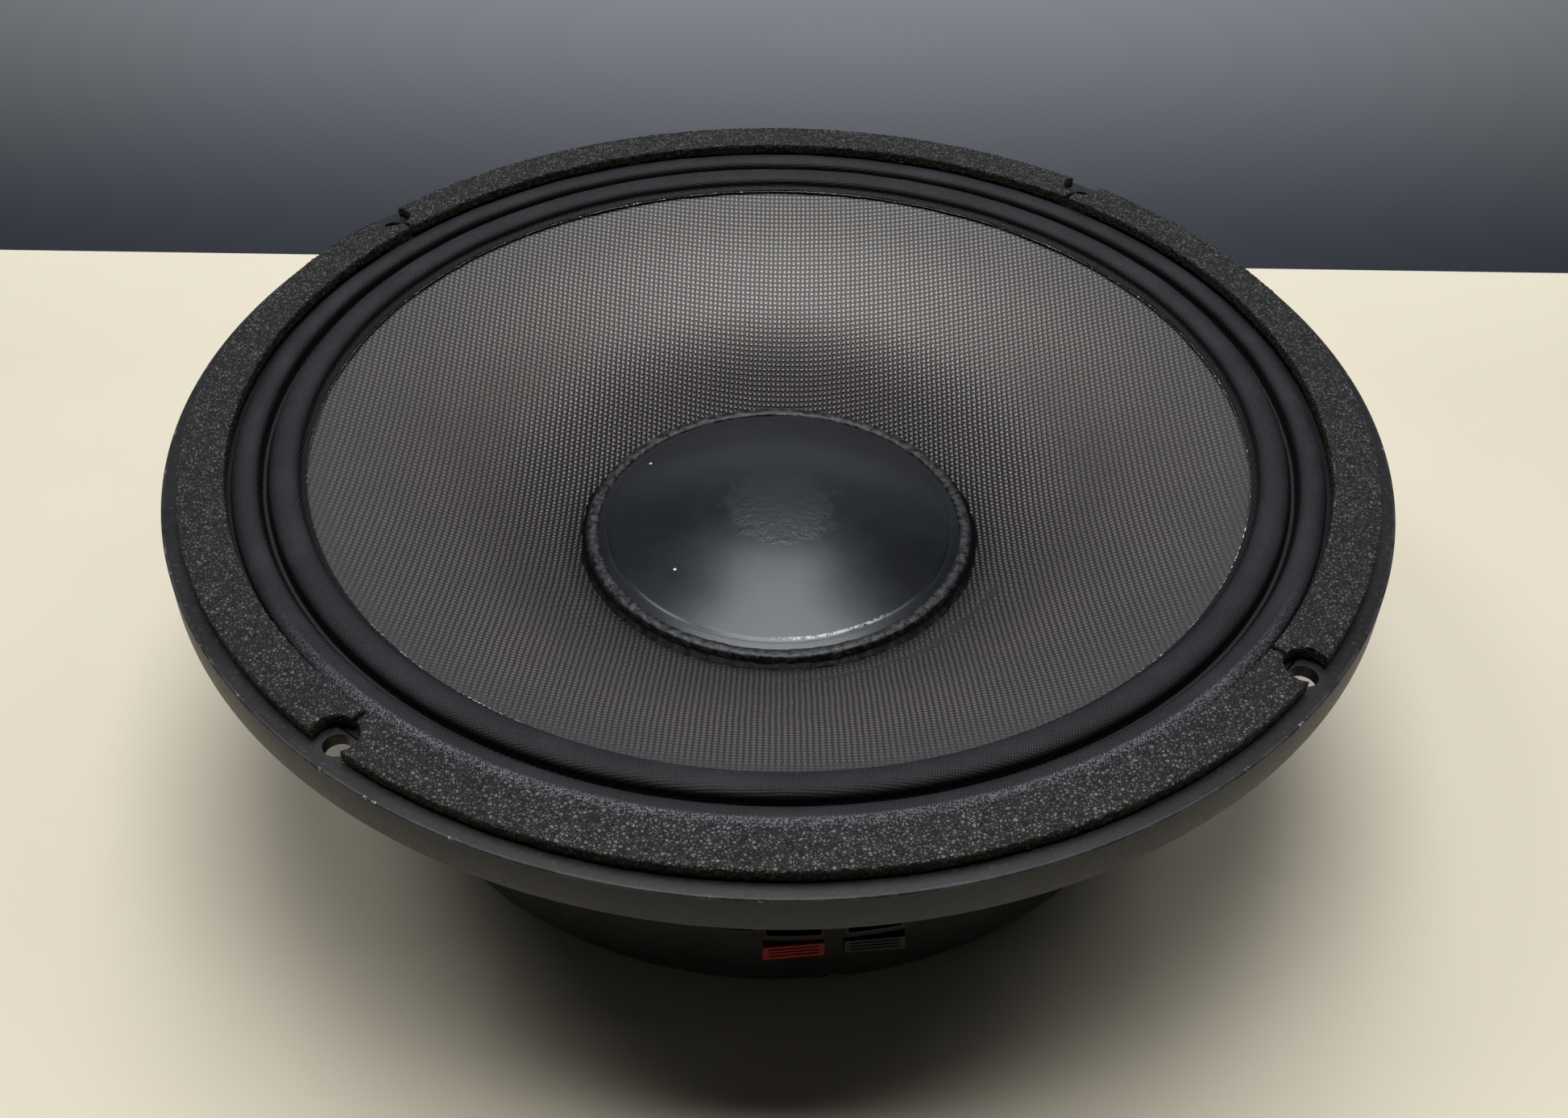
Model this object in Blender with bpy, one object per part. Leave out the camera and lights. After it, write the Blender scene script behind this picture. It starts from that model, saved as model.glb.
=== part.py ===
"""Twelve-inch bass loudspeaker (car subwoofer / woofer driver), lying on its motor with the cone up.

Frame: +Z is the direction the cone faces and the voice coil's axis, the origin is the centre of
the back plate's rear face, and -Y is the side of the wire terminal. Lengths are in metres.
"""
import math

import bmesh
import bpy
from mathutils import Matrix, Vector

MM = 0.001
GAP = 0.3 * MM                      # left between pieces that touch on the real driver

# ---- driving dimensions ------------------------------------------------------------------
FLANGE_R = 157.5 * MM               # 315 mm outside diameter
FLANGE_Z = 101.0 * MM               # height of the flange's front face
SKIRT_H = 9.6 * MM                  # depth of the rim's side band
PLATE_T = 3.2 * MM                  # flange thickness inside the band
BOLT_PCD_R = 150.5 * MM
BOLT_HOLE_R = 3.25 * MM
BOLT_ANGLES = (45, 135, 225, 315)

GASKET_OUT_R = 153.5 * MM
GASKET_IN_R = 141.5 * MM
GASKET_T = 3.8 * MM
GASKET_NOTCH_R = 5.2 * MM

RECESS_R = 146.8 * MM               # seat of the surround's outer edge
RECESS_D = 1.6 * MM
THROAT_R = 138.0 * MM               # inside of the rim
LEG_COUNT = 6
LEG_HALF_ANGLE = 5.8                # degrees, seen from the axis
LEDGE_IN_R = 85.0 * MM              # spider seat
LEDGE_OUT_R = 92.0 * MM
LEDGE_Z = 49.3 * MM
MOTOR_SEAT_Z = 39.6 * MM            # underside of the basket, on the top plate

BACK_PLATE_R = 100.0 * MM
BACK_PLATE_T = 9.0 * MM
MAGNET_R = 112.3 * MM
MAGNET_BORE_R = 62.0 * MM
MAGNET_T = 21.7 * MM
TOP_PLATE_R = 106.0 * MM
TOP_PLATE_BORE_R = 53.2 * MM
TOP_PLATE_T = 8.0 * MM
POLE_R = 49.9 * MM
VENT_R = 14.0 * MM

COIL_IN_R = 50.6 * MM               # 101 mm (4 inch) voice coil
COIL_OUT_R = 51.2 * MM
WINDING_T = 0.9 * MM
WINDING_H = 16.0 * MM
FORMER_TOP_Z = 62.8 * MM

CONE_NECK_R = 51.5 * MM
CONE_NECK_Z = 60.0 * MM
CONE_EDGE_R = 125.5 * MM
CONE_EDGE_Z = 99.4 * MM
CONE_BOW = 0.22                     # how much steeper the cone is at its neck
CONE_T = 1.2 * MM
SHEET_T = 0.8 * MM                  # surround and spider cloth

ROLL_OUT_R = 137.0 * MM             # crest radius, half width and height of the outer roll
ROLL_OUT_W = 3.4 * MM
ROLL_OUT_H = 3.3 * MM
ROLL_IN_R = 127.5 * MM
ROLL_IN_W = 3.3 * MM
ROLL_IN_H = 2.8 * MM
ROLL_BASE_Z = 100.1 * MM
VALLEY_R = 132.4 * MM               # bottom of the groove between the rolls
VALLEY_D = 1.4 * MM
SEAM_R = 122.6 * MM                 # where the surround ends on the cone

CAP_R = 51.6 * MM
CAP_RIM_Z = 64.2 * MM
CAP_RISE = 7.0 * MM
CAP_T = 0.9 * MM
BEAD_OUT_R = 56.2 * MM

SPIDER_Z = 50.0 * MM
SPIDER_IN_R = 53.0 * MM
SPIDER_FLAT_R = 84.0 * MM
SPIDER_OUT_R = 91.0 * MM
SPIDER_WAVES = 4
SPIDER_AMPLITUDE = 1.6 * MM

HOUSING_R = 124.0 * MM              # front of the cast terminal housing
HOUSING_WALL = 2.6 * MM
HOUSING_HALF_W = 19.0 * MM
HOUSING_Z = (41.5 * MM, 64.2 * MM)
POCKET_HALF_W = 16.2 * MM
POCKET_TOP_Z = 61.6 * MM
WINDOW_X = 9.6 * MM                 # centre of each wire window, left and right
WINDOW_W = 13.0 * MM
WINDOW_Z = (44.2 * MM, 56.0 * MM)
BLOCK_HALF_W = 15.9 * MM
LEVER_PIVOT = Vector((0.0, -115.7, 45.2)) * MM
PIN_R = 0.9 * MM

SCREW_RING_R = 101.0 * MM           # six screws, basket to top plate
SCREW_SHANK_R = 2.4 * MM
SCREW_HEAD_R = 4.2 * MM
SCREW_HEAD_H = 4.6 * MM
SCREW_SEAT_Z = 43.6 * MM
SCREW_END_Z = 33.0 * MM

LEAD_R = 1.0 * MM
LEAD_ROUTE = [(9.6, -103.0, 58.4), (9.6, -99.0, 58.4), (9.8, -93.0, 57.9), (10.0, -86.0, 56.9),
              (10.2, -78.5, 56.5), (10.2, -71.8, 57.9), (9.9, -66.6, 60.7), (9.6, -62.6, 63.1)]
PAD_ENDS_Y = (-66.5 * MM, -61.5 * MM)

RIM_STEPS = 48                      # facets round the large rings
COIL_STEPS = 40                     # facets round the cone and the coil


# ---- materials ---------------------------------------------------------------------------
def material(name, color, roughness, metallic=0.0):
    made = bpy.data.materials.new(name)
    made.use_nodes = True
    shader = made.node_tree.nodes["Principled BSDF"]
    shader.inputs["Base Color"].default_value = (*color, 1.0)
    shader.inputs["Roughness"].default_value = roughness
    shader.inputs["Metallic"].default_value = metallic
    return made


# ---- solids ------------------------------------------------------------------------------
def add_object(name, mesh_data, finish=None, origin=(0, 0, 0)):
    """Recentre the mesh on origin, shade it, and link it as a named object."""
    mesh = bpy.data.meshes.new(name)
    mesh_data.transform(Matrix.Translation(-Vector(origin)))
    bmesh.ops.recalc_face_normals(mesh_data, faces=mesh_data.faces)
    mesh_data.to_mesh(mesh)
    mesh_data.free()
    mesh.shade_smooth()
    mesh.set_sharp_from_angle(angle=math.radians(35))
    made = bpy.data.objects.new(name, mesh)
    made.location = origin
    bpy.context.collection.objects.link(made)
    if finish:
        mesh.materials.append(finish)
    return made


def lathe(name, profile, finish=None, steps=COIL_STEPS):
    """Turn a closed (radius, height) outline about the Z axis."""
    made = bmesh.new()
    ring = [made.verts.new((r, 0, z)) for r, z in profile]
    edges = [made.edges.new((a, b)) for a, b in zip(ring, ring[1:])]
    if profile[0][0] > 0 or profile[-1][0] > 0:
        edges.append(made.edges.new((ring[-1], ring[0])))
    bmesh.ops.spin(made, geom=ring + edges, cent=(0, 0, 0), axis=(0, 0, 1),
                   angle=2 * math.pi, steps=steps, use_merge=True)
    bmesh.ops.remove_doubles(made, verts=made.verts, dist=0.01 * MM)
    return add_object(name, made, finish)


AXES = {"X": lambda u, v, w: (w, u, v), "Y": lambda u, v, w: (u, w, v), "Z": lambda u, v, w: (u, v, w)}


def prism(name, outline, low, high, finish=None, along="Z", origin=(0, 0, 0)):
    """Extrude a flat outline along one axis, from low to high."""
    made = bmesh.new()
    place = AXES[along]
    face = made.faces.new([made.verts.new(place(u, v, low)) for u, v in outline])
    raised = bmesh.ops.extrude_face_region(made, geom=[face])["geom"]
    moved = [item for item in raised if isinstance(item, bmesh.types.BMVert)]
    bmesh.ops.translate(made, verts=moved, vec=place(0, 0, high - low))
    return add_object(name, made, finish, origin)


def rectangle(u_low, u_high, v_low, v_high):
    return [(u_low, v_low), (u_high, v_low), (u_high, v_high), (u_low, v_high)]


def box(name, x, y, z, finish=None, origin=(0, 0, 0)):
    return prism(name, rectangle(*x, *y), *z, finish, "Z", origin)


def disc(center, radius, sides, phase=0.0):
    turn = [phase + 2 * math.pi * i / sides for i in range(sides)]
    return [(center[0] + radius * math.cos(a), center[1] + radius * math.sin(a)) for a in turn]


def arc(radius, start, end, steps):
    turn = [math.radians(start + (end - start) * i / steps) for i in range(steps + 1)]
    return [(radius * math.cos(a), radius * math.sin(a)) for a in turn]


def sector(r_low, r_high, start, end, steps):
    return arc(r_high, start, end, steps) + arc(r_low, end, start, steps)


def bowed(half_width, radius, back_y):
    """Straight-sided outline towards -Y whose front is an arc about the axis."""
    half = math.degrees(math.asin(half_width / radius))
    return arc(radius, -90 - half, -90 + half, 8) + [(half_width, back_y), (-half_width, back_y)]


def combine(target, tool, operation="DIFFERENCE"):
    """Boolean the tool into the target; the tool stays as a hidden guide."""
    tool.hide_render = True
    tool.display_type = "WIRE"
    change = target.modifiers.new(tool.name, "BOOLEAN")
    change.operation = operation
    change.object = tool
    change.solver = "EXACT"


def polar(radius, degrees):
    turn = math.radians(degrees)
    return radius * math.cos(turn), radius * math.sin(turn)


def ribbon(center_line, thickness):
    """Closed outline of a sheet: its centre line moved half a thickness to each side."""
    last = len(center_line) - 1
    upper, lower = [], []
    for i, (r, z) in enumerate(center_line):
        before = Vector(center_line[max(i - 1, 0)])
        after = Vector(center_line[min(i + 1, last)])
        along = (after - before).normalized()
        side = Vector((-along.y, along.x)) * thickness / 2
        upper.append((r + side.x, z + side.y))
        lower.append((r - side.x, z - side.y))
    return upper + lower[::-1]


# ---- basket ------------------------------------------------------------------------------
def basket(finish):
    """Cast frame: rim with its side band, six legs, spider ledge, motor seat, terminal housing."""
    skirt_in_r = FLANGE_R - PLATE_T
    plate_z = FLANGE_Z - PLATE_T
    profile = [(FLANGE_R - 0.4 * MM, FLANGE_Z), (FLANGE_R, FLANGE_Z - 0.4 * MM),
               (FLANGE_R, FLANGE_Z - SKIRT_H), (skirt_in_r, FLANGE_Z - SKIRT_H),
               (skirt_in_r, plate_z), (145 * MM, plate_z),
               (142 * MM, 94 * MM), (138.5 * MM, 80 * MM), (127 * MM, 60 * MM),
               (116.5 * MM, 46.5 * MM), (112 * MM, MOTOR_SEAT_Z),
               (MAGNET_BORE_R, MOTOR_SEAT_Z), (MAGNET_BORE_R, 42.4 * MM), (83 * MM, 42.4 * MM),
               (LEDGE_IN_R, LEDGE_Z), (LEDGE_OUT_R, LEDGE_Z), (94 * MM, SCREW_SEAT_Z),
               (109 * MM, SCREW_SEAT_Z), (113 * MM, 48 * MM), (123.5 * MM, 61.5 * MM),
               (134.6 * MM, 81 * MM), (THROAT_R, 93 * MM), (THROAT_R, FLANGE_Z - RECESS_D),
               (RECESS_R, FLANGE_Z - RECESS_D), (RECESS_R, FLANGE_Z)]
    made = lathe("basket", profile, finish, RIM_STEPS)

    pitch = 360 / LEG_COUNT
    for i in range(LEG_COUNT):
        middle = -90 + pitch * (i + 0.5)
        half = pitch / 2 - LEG_HALF_ANGLE
        outline = sector(96 * MM, 150 * MM, middle - half, middle + half, 8)
        combine(made, prism(f"window_cutter_{i + 1}", outline, 47.5 * MM, 87.5 * MM))

    solid = bowed(HOUSING_HALF_W, HOUSING_R, -105 * MM)
    combine(made, prism("housing_solid", solid, *HOUSING_Z), "UNION")
    inside_r = HOUSING_R - HOUSING_WALL
    pocket = bowed(POCKET_HALF_W, inside_r, -98 * MM)
    combine(made, prism("housing_pocket", pocket, 43.9 * MM, POCKET_TOP_Z))
    mouth = bowed(POCKET_HALF_W, inside_r, -112.8 * MM)
    combine(made, prism("housing_mouth", mouth, 38 * MM, 45 * MM))
    for side in (-1, 1):
        x = (side * WINDOW_X - WINDOW_W / 2, side * WINDOW_X + WINDOW_W / 2)
        cutter = box(f"wire_window_cutter_{side}", x, (-130 * MM, -118 * MM), WINDOW_Z)
        combine(made, cutter)

    for angle in BOLT_ANGLES:
        outline = disc(polar(BOLT_PCD_R, angle), BOLT_HOLE_R, 16, 0.1)
        combine(made, prism(f"bolt_hole_cutter_{angle}", outline, 95 * MM, 103 * MM))
    for i in range(LEG_COUNT):
        hole = disc(polar(SCREW_RING_R, screw_angle(i)), SCREW_SHANK_R + GAP, 12, 0.1)
        combine(made, prism(f"frame_screw_cutter_{i + 1}", hole, 38 * MM, 45 * MM))
    return made


# ---- gasket ------------------------------------------------------------------------------
def gasket_segment(number, finish):
    """One quarter of the cork gasket, rounded out at each end for the bolt."""
    start = BOLT_ANGLES[number - 1] + 0.15
    outline = sector(GASKET_IN_R, GASKET_OUT_R, start, start + 89.7, 18)
    low = FLANGE_Z + GAP
    high = low + GASKET_T
    made = prism(f"gasket_segment_{number}", outline, low, high, finish)
    for end in (start - 0.15, start + 89.85):
        outline = disc(polar(BOLT_PCD_R, end), GASKET_NOTCH_R, 20)
        combine(made, prism(f"gasket_cutter_{number}_{end:.0f}", outline, low - MM, high + MM))


# ---- motor -------------------------------------------------------------------------------
def screw_angle(index):
    return -90 + 360 / LEG_COUNT * (index + 0.5)


def ring_profile(r_low, r_high, z_low, z_high, chamfer):
    return [(r_low, z_high), (r_high - chamfer, z_high), (r_high, z_high - chamfer),
            (r_high, z_low + chamfer), (r_high - chamfer, z_low), (r_low, z_low)]


def motor(steel, ferrite, mesh_finish):
    """Back plate, pole piece, magnet and top plate, glued in a stack."""
    lathe("back_plate", ring_profile(VENT_R, BACK_PLATE_R, 0, BACK_PLATE_T, 1.2 * MM), steel)
    pole_z = BACK_PLATE_T + GAP
    magnet_z = pole_z
    plate_z = magnet_z + MAGNET_T + GAP
    plate_top = plate_z + TOP_PLATE_T
    lathe("pole_piece", ring_profile(VENT_R, POLE_R, pole_z, plate_top + 1.5 * MM, 0.8 * MM), steel)
    magnet = ring_profile(MAGNET_BORE_R, MAGNET_R, magnet_z, magnet_z + MAGNET_T, 1.5 * MM)
    lathe("magnet", magnet, ferrite, RIM_STEPS)
    top = ring_profile(TOP_PLATE_BORE_R, TOP_PLATE_R, plate_z, plate_top, 0.8 * MM)
    top_plate = lathe("top_plate", top, steel)
    lathe("vent_screen", [(0, 1.8 * MM), (VENT_R - GAP, 1.8 * MM), (VENT_R - GAP, 1.0 * MM),
                          (0, 1.0 * MM)], mesh_finish, 24)
    for i in range(LEG_COUNT):
        hole = disc(polar(SCREW_RING_R, screw_angle(i)), SCREW_SHANK_R + GAP, 12, 0.1)
        combine(top_plate, prism(f"tapped_hole_cutter_{i + 1}", hole, SCREW_END_Z - MM, 42 * MM))


def frame_screws(finish):
    """Socket-head screws that hold the basket on the top plate, between the legs."""
    seat = SCREW_SEAT_Z + GAP
    for i in range(LEG_COUNT):
        x, y = polar(SCREW_RING_R, screw_angle(i))
        made = lathe(f"frame_screw_{i + 1}",
                     [(0, seat + SCREW_HEAD_H), (SCREW_HEAD_R - 0.4 * MM, seat + SCREW_HEAD_H),
                      (SCREW_HEAD_R, seat + SCREW_HEAD_H - 0.4 * MM), (SCREW_HEAD_R, seat),
                      (SCREW_SHANK_R, seat), (SCREW_SHANK_R, SCREW_END_Z), (0, SCREW_END_Z)],
                     finish, 12)
        socket = prism(f"socket_cutter_{i + 1}", disc((0, 0), 2.3 * MM, 6),
                       seat + 2 * MM, seat + SCREW_HEAD_H + MM)
        combine(made, socket)
        made.location = (x, y, 0)
        socket.location = (x, y, 0)


# ---- moving assembly ---------------------------------------------------------------------
def cone_height(radius):
    """Front surface of the cone, a line bowed so that it is steeper at the neck."""
    t = (radius - CONE_NECK_R) / (CONE_EDGE_R - CONE_NECK_R)
    rise = t + CONE_BOW * t * (1 - t)
    return CONE_NECK_Z + (CONE_EDGE_Z - CONE_NECK_Z) * rise


def cone(finish):
    radii = [CONE_NECK_R + (CONE_EDGE_R - CONE_NECK_R) * i / 5 for i in range(6)]
    front = [(r, cone_height(r)) for r in radii]
    back = [(r, cone_height(r) - CONE_T) for r in reversed(radii)]
    lathe("cone", front + back, finish)


def dust_cap(finish):
    """Shallow outward dome that closes the voice coil."""
    radii = [CAP_R * f for f in (0, 0.35, 0.65, 0.87, 1)]
    front = [(r, CAP_RIM_Z + CAP_RISE * (1 - (r / CAP_R) ** 2)) for r in radii]
    back = [(r, z - (0.6 * MM if r == CAP_R else CAP_T)) for r, z in reversed(front)]
    lathe("dust_cap", front + back, finish)


def cap_glue_bead(finish):
    """Bead that seals the cap's edge to the cone."""
    inner = CAP_R + GAP
    lathe("cap_glue_bead",
          [(inner, cone_height(inner) + GAP), (inner, CAP_RIM_Z + 0.3 * MM),
           (52.6 * MM, CAP_RIM_Z + 0.9 * MM), (54.4 * MM, CAP_RIM_Z + MM),
           (BEAD_OUT_R - 0.2 * MM, CAP_RIM_Z + 0.5 * MM), (BEAD_OUT_R, cone_height(BEAD_OUT_R) + GAP)],
          finish)


def voice_coil(former_finish, copper):
    """Thin tube that carries the winding, centred on the top plate's gap."""
    gap_z = BACK_PLATE_T + GAP + MAGNET_T + GAP + TOP_PLATE_T / 2
    low = gap_z - WINDING_H / 2
    lathe("coil_former", [(COIL_IN_R, FORMER_TOP_Z), (COIL_OUT_R, FORMER_TOP_Z),
                          (COIL_OUT_R, low), (COIL_IN_R, low)], former_finish)
    inner = COIL_OUT_R + GAP
    lathe("coil_winding", [(inner, low + WINDING_H), (inner + WINDING_T, low + WINDING_H),
                           (inner + WINDING_T, low), (inner, low)], copper)


def roll(radius, half_width, height, steps):
    """Half ellipse over the surround's base line, from its outer foot to its inner foot."""
    turn = [math.pi * i / steps for i in range(steps + 1)]
    return [(radius + half_width * math.cos(a), ROLL_BASE_Z + height * math.sin(a)) for a in turn]


def surround(finish):
    """Cloth edge with two rolls and a groove, from the rim's recess to the cone's front edge."""
    land_z = SHEET_T / 2 + GAP
    line = [(RECESS_R - 0.5 * MM, ROLL_BASE_Z), (143 * MM, ROLL_BASE_Z)]
    line += roll(ROLL_OUT_R, ROLL_OUT_W, ROLL_OUT_H, 5)
    line.append((VALLEY_R, ROLL_BASE_Z - VALLEY_D))
    line += roll(ROLL_IN_R, ROLL_IN_W, ROLL_IN_H, 5)
    line += [(r, cone_height(r) + land_z + 0.2 * MM) for r in (SEAM_R + 0.8 * MM, SEAM_R)]
    lathe("surround", ribbon(line, SHEET_T), finish)


def spider(finish):
    """Corrugated centring cloth, from the coil former to the basket's ledge."""
    crests = SPIDER_WAVES * 2
    line = [(SPIDER_OUT_R, SPIDER_Z), (SPIDER_FLAT_R, SPIDER_Z)]
    for i in range(crests):
        r = SPIDER_FLAT_R + (SPIDER_IN_R - SPIDER_FLAT_R) * (i + 0.5) / crests
        line.append((r, SPIDER_Z + SPIDER_AMPLITUDE * (1 if i % 2 == 0 else -1)))
    line += [(COIL_OUT_R + GAP + SHEET_T / 2, SPIDER_Z + 0.8 * MM),
             (COIL_OUT_R + GAP + SHEET_T / 2, SPIDER_Z + 2.8 * MM)]
    lathe("spider", ribbon(line, SHEET_T), finish)


# ---- terminal ----------------------------------------------------------------------------
def terminal_block(finish):
    """Plastic block in the housing, with a wire slot for each lead and three lugs for the pin."""
    front = -119.4 * MM
    made = box("terminal_block", (-BLOCK_HALF_W, BLOCK_HALF_W), (front, -108.4 * MM),
               (48 * MM, 61.2 * MM), finish)
    for number, (x_low, x_high) in enumerate(((-15.9, -14.6), (-3.4, 3.4), (14.6, 15.9)), 1):
        lug = box(f"lug_{number}", (x_low * MM, x_high * MM), (-118.2 * MM, -113.6 * MM),
                  (42.4 * MM, 49 * MM))
        combine(made, lug, "UNION")
    bore = disc((LEVER_PIVOT.y, LEVER_PIVOT.z), PIN_R + GAP, 12)
    combine(made, prism("pin_bore_cutter", bore, -17 * MM, 17 * MM, along="X"))
    for side in (-1, 1):
        x = (side * WINDOW_X - 3 * MM, side * WINDOW_X + 3 * MM)
        slot = box(f"wire_slot_cutter_{side}", x, (front - MM, -111 * MM), (50.2 * MM, 54 * MM))
        combine(made, slot)


def terminal_lever(name, side, finish):
    """Push lever: a neck on the pin and a wide tab below the housing."""
    neck_x = (3.7 * MM, 14.3 * MM) if side > 0 else (-14.3 * MM, -3.7 * MM)
    tab_x = (side * WINDOW_X - 7.3 * MM, side * WINDOW_X + 7.3 * MM)
    neck = [(-113.9, 44.2), (-114.4, 46.6), (-117.2, 46.8), (-118.2, 45.0), (-120.3, 41.1),
            (-122.4, 40.9), (-122.4, 38.0), (-119.6, 38.4), (-115.0, 42.6)]
    tab = [(-120.6, 41.1), (-123.9, 40.9), (-124.2, 36.6), (-123.6, 35.9), (-122.2, 35.9),
           (-120.6, 38.6)]
    scaled = [[(u * MM, v * MM) for u, v in outline] for outline in (neck, tab)]
    pivot = Vector((side * WINDOW_X, LEVER_PIVOT.y, LEVER_PIVOT.z))
    made = prism(name, scaled[0], *neck_x, finish, "X", pivot)
    combine(made, prism(f"{name}_tab", scaled[1], *tab_x, None, "X", pivot), "UNION")
    bore = disc((LEVER_PIVOT.y, LEVER_PIVOT.z), PIN_R + GAP, 12)
    combine(made, prism(f"{name}_bore", bore, neck_x[0] - MM, neck_x[1] + MM, None, "X", pivot))


def terminal_metal(steel, brass):
    """Lever pin, and for each pole a contact spring in the wire slot and a solder tag behind."""
    pin = disc((LEVER_PIVOT.y, LEVER_PIVOT.z), PIN_R, 10)
    prism("lever_pin", pin, -15.8 * MM, 15.8 * MM, steel, "X")
    for pole, side in (("positive", -1), ("negative", 1)):
        x = side * WINDOW_X
        leaf = [(-118.8, 50.5), (-111.4, 50.5), (-111.4, 51.0), (-115.6, 51.1), (-117.4, 52.6),
                (-117.8, 52.4), (-116.2, 51.0), (-118.8, 51.0)]
        leaf = [(u * MM, v * MM) for u, v in leaf]
        prism(f"contact_spring_{pole}", leaf, x - 2.4 * MM, x + 2.4 * MM, brass, "X")
        box(f"solder_tag_{pole}", (x - 2.4 * MM, x + 2.4 * MM), (-108.1 * MM, -99 * MM),
            (56.2 * MM, 57 * MM), brass)


def smooth_route(points, per_span):
    """Points along a Catmull-Rom curve through the route's own points."""
    route = [Vector(p) * MM for p in points]
    route = [2 * route[0] - route[1]] + route + [2 * route[-1] - route[-2]]
    found = []
    for a, b, c, d in zip(route, route[1:], route[2:], route[3:]):
        for i in range(per_span):
            t = i / per_span
            found.append(0.5 * (2 * b + (c - a) * t + (2 * a - 5 * b + 4 * c - d) * t ** 2
                                + (3 * b - a - 3 * c + d) * t ** 3))
    return found + [route[-2]]


def tinsel_lead(pole, side, braid, brass):
    """Flexible lead from the solder tag to the pad under the cone."""
    curve = bpy.data.curves.new(f"tinsel_lead_{pole}", "CURVE")
    curve.dimensions = "3D"
    curve.bevel_depth = LEAD_R
    curve.bevel_resolution = 2
    curve.use_fill_caps = True
    points = smooth_route([(side * x, y, z) for x, y, z in LEAD_ROUTE], 3)
    spline = curve.splines.new("POLY")
    spline.points.add(len(points) - 1)
    for item, place in zip(spline.points, points):
        item.co = (*place, 1.0)
    curve.materials.append(braid)
    bpy.context.collection.objects.link(bpy.data.objects.new(curve.name, curve))
    x = side * 9.6 * MM
    top = [(y, cone_height(math.hypot(x, y)) - CONE_T - 0.6 * MM) for y in PAD_ENDS_Y]
    outline = top + [(y, z - 0.8 * MM) for y, z in reversed(top)]
    prism(f"lead_pad_{pole}", outline, x - 2.5 * MM, x + 2.5 * MM, brass, "X")


# ---- assembly ----------------------------------------------------------------------------
def build():
    for item in list(bpy.data.objects):
        bpy.data.objects.remove(item, do_unlink=True)
    frame_paint = material("frame_paint", (0.045, 0.045, 0.045), 0.42)
    cork = material("cork_gasket", (0.045, 0.045, 0.047), 0.9)
    steel = material("black_steel", (0.012, 0.012, 0.013), 0.45, 0.6)
    ferrite = material("ferrite", (0.010, 0.010, 0.011), 0.55)
    screw_steel = material("screw_steel", (0.35, 0.35, 0.36), 0.35, 1.0)
    mesh_steel = material("vent_mesh", (0.30, 0.30, 0.31), 0.45, 1.0)
    cone_cloth = material("cone_cloth", (0.085, 0.075, 0.075), 0.6)
    edge_cloth = material("surround_cloth", (0.025, 0.027, 0.033), 0.65)
    spider_cloth = material("spider_cloth", (0.45, 0.33, 0.18), 0.85)
    cap_finish = material("cap_coating", (0.030, 0.034, 0.042), 0.3)
    glue = material("black_glue", (0.010, 0.011, 0.013), 0.2)
    former = material("coil_former", (0.45, 0.32, 0.16), 0.5)
    copper = material("copper_winding", (0.72, 0.30, 0.12), 0.35, 1.0)
    black_plastic = material("black_plastic", (0.015, 0.015, 0.016), 0.45)
    red_plastic = material("red_plastic", (0.55, 0.01, 0.02), 0.4)
    brass = material("brass", (0.75, 0.55, 0.22), 0.35, 1.0)
    braid = material("tinsel_braid", (0.60, 0.42, 0.24), 0.45, 0.8)

    basket(frame_paint)
    for number in (1, 2, 3, 4):
        gasket_segment(number, cork)
    motor(steel, ferrite, mesh_steel)
    frame_screws(screw_steel)
    cone(cone_cloth)
    dust_cap(cap_finish)
    cap_glue_bead(glue)
    voice_coil(former, copper)
    surround(edge_cloth)
    spider(spider_cloth)
    terminal_block(black_plastic)
    terminal_lever("terminal_lever_red", -1, red_plastic)
    terminal_lever("terminal_lever_black", 1, black_plastic)
    terminal_metal(screw_steel, brass)
    tinsel_lead("positive", -1, braid, brass)
    tinsel_lead("negative", 1, braid, brass)


build()
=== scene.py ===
"""Looks of the twelve-inch bass loudspeaker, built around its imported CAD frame.

Frame: +Z is the way the cone faces, -Y is the terminal side, the origin is the centre of the back
plate's rear face. Lengths are in metres.
"""
import math
from itertools import product

import bmesh
import bpy
import numpy as np
from mathutils import Matrix, Quaternion, Vector, noise


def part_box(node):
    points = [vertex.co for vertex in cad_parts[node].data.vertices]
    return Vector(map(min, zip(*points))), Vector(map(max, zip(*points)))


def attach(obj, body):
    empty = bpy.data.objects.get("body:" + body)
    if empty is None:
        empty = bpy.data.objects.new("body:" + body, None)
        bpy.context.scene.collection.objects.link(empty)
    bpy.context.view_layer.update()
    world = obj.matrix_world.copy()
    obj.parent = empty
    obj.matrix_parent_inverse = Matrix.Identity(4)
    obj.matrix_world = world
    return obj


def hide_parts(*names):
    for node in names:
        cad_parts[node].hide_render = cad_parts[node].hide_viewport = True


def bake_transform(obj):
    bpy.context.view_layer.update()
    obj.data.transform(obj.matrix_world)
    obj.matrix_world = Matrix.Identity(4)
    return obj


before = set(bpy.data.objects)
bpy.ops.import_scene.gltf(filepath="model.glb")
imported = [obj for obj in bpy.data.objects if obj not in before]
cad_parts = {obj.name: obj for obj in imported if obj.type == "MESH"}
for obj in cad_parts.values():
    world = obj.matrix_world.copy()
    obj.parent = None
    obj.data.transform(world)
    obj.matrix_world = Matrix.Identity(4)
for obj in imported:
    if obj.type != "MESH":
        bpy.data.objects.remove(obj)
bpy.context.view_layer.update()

MM = 0.001
FIXED = "frame_and_motor"
MOVING = "cone_assembly"

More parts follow.
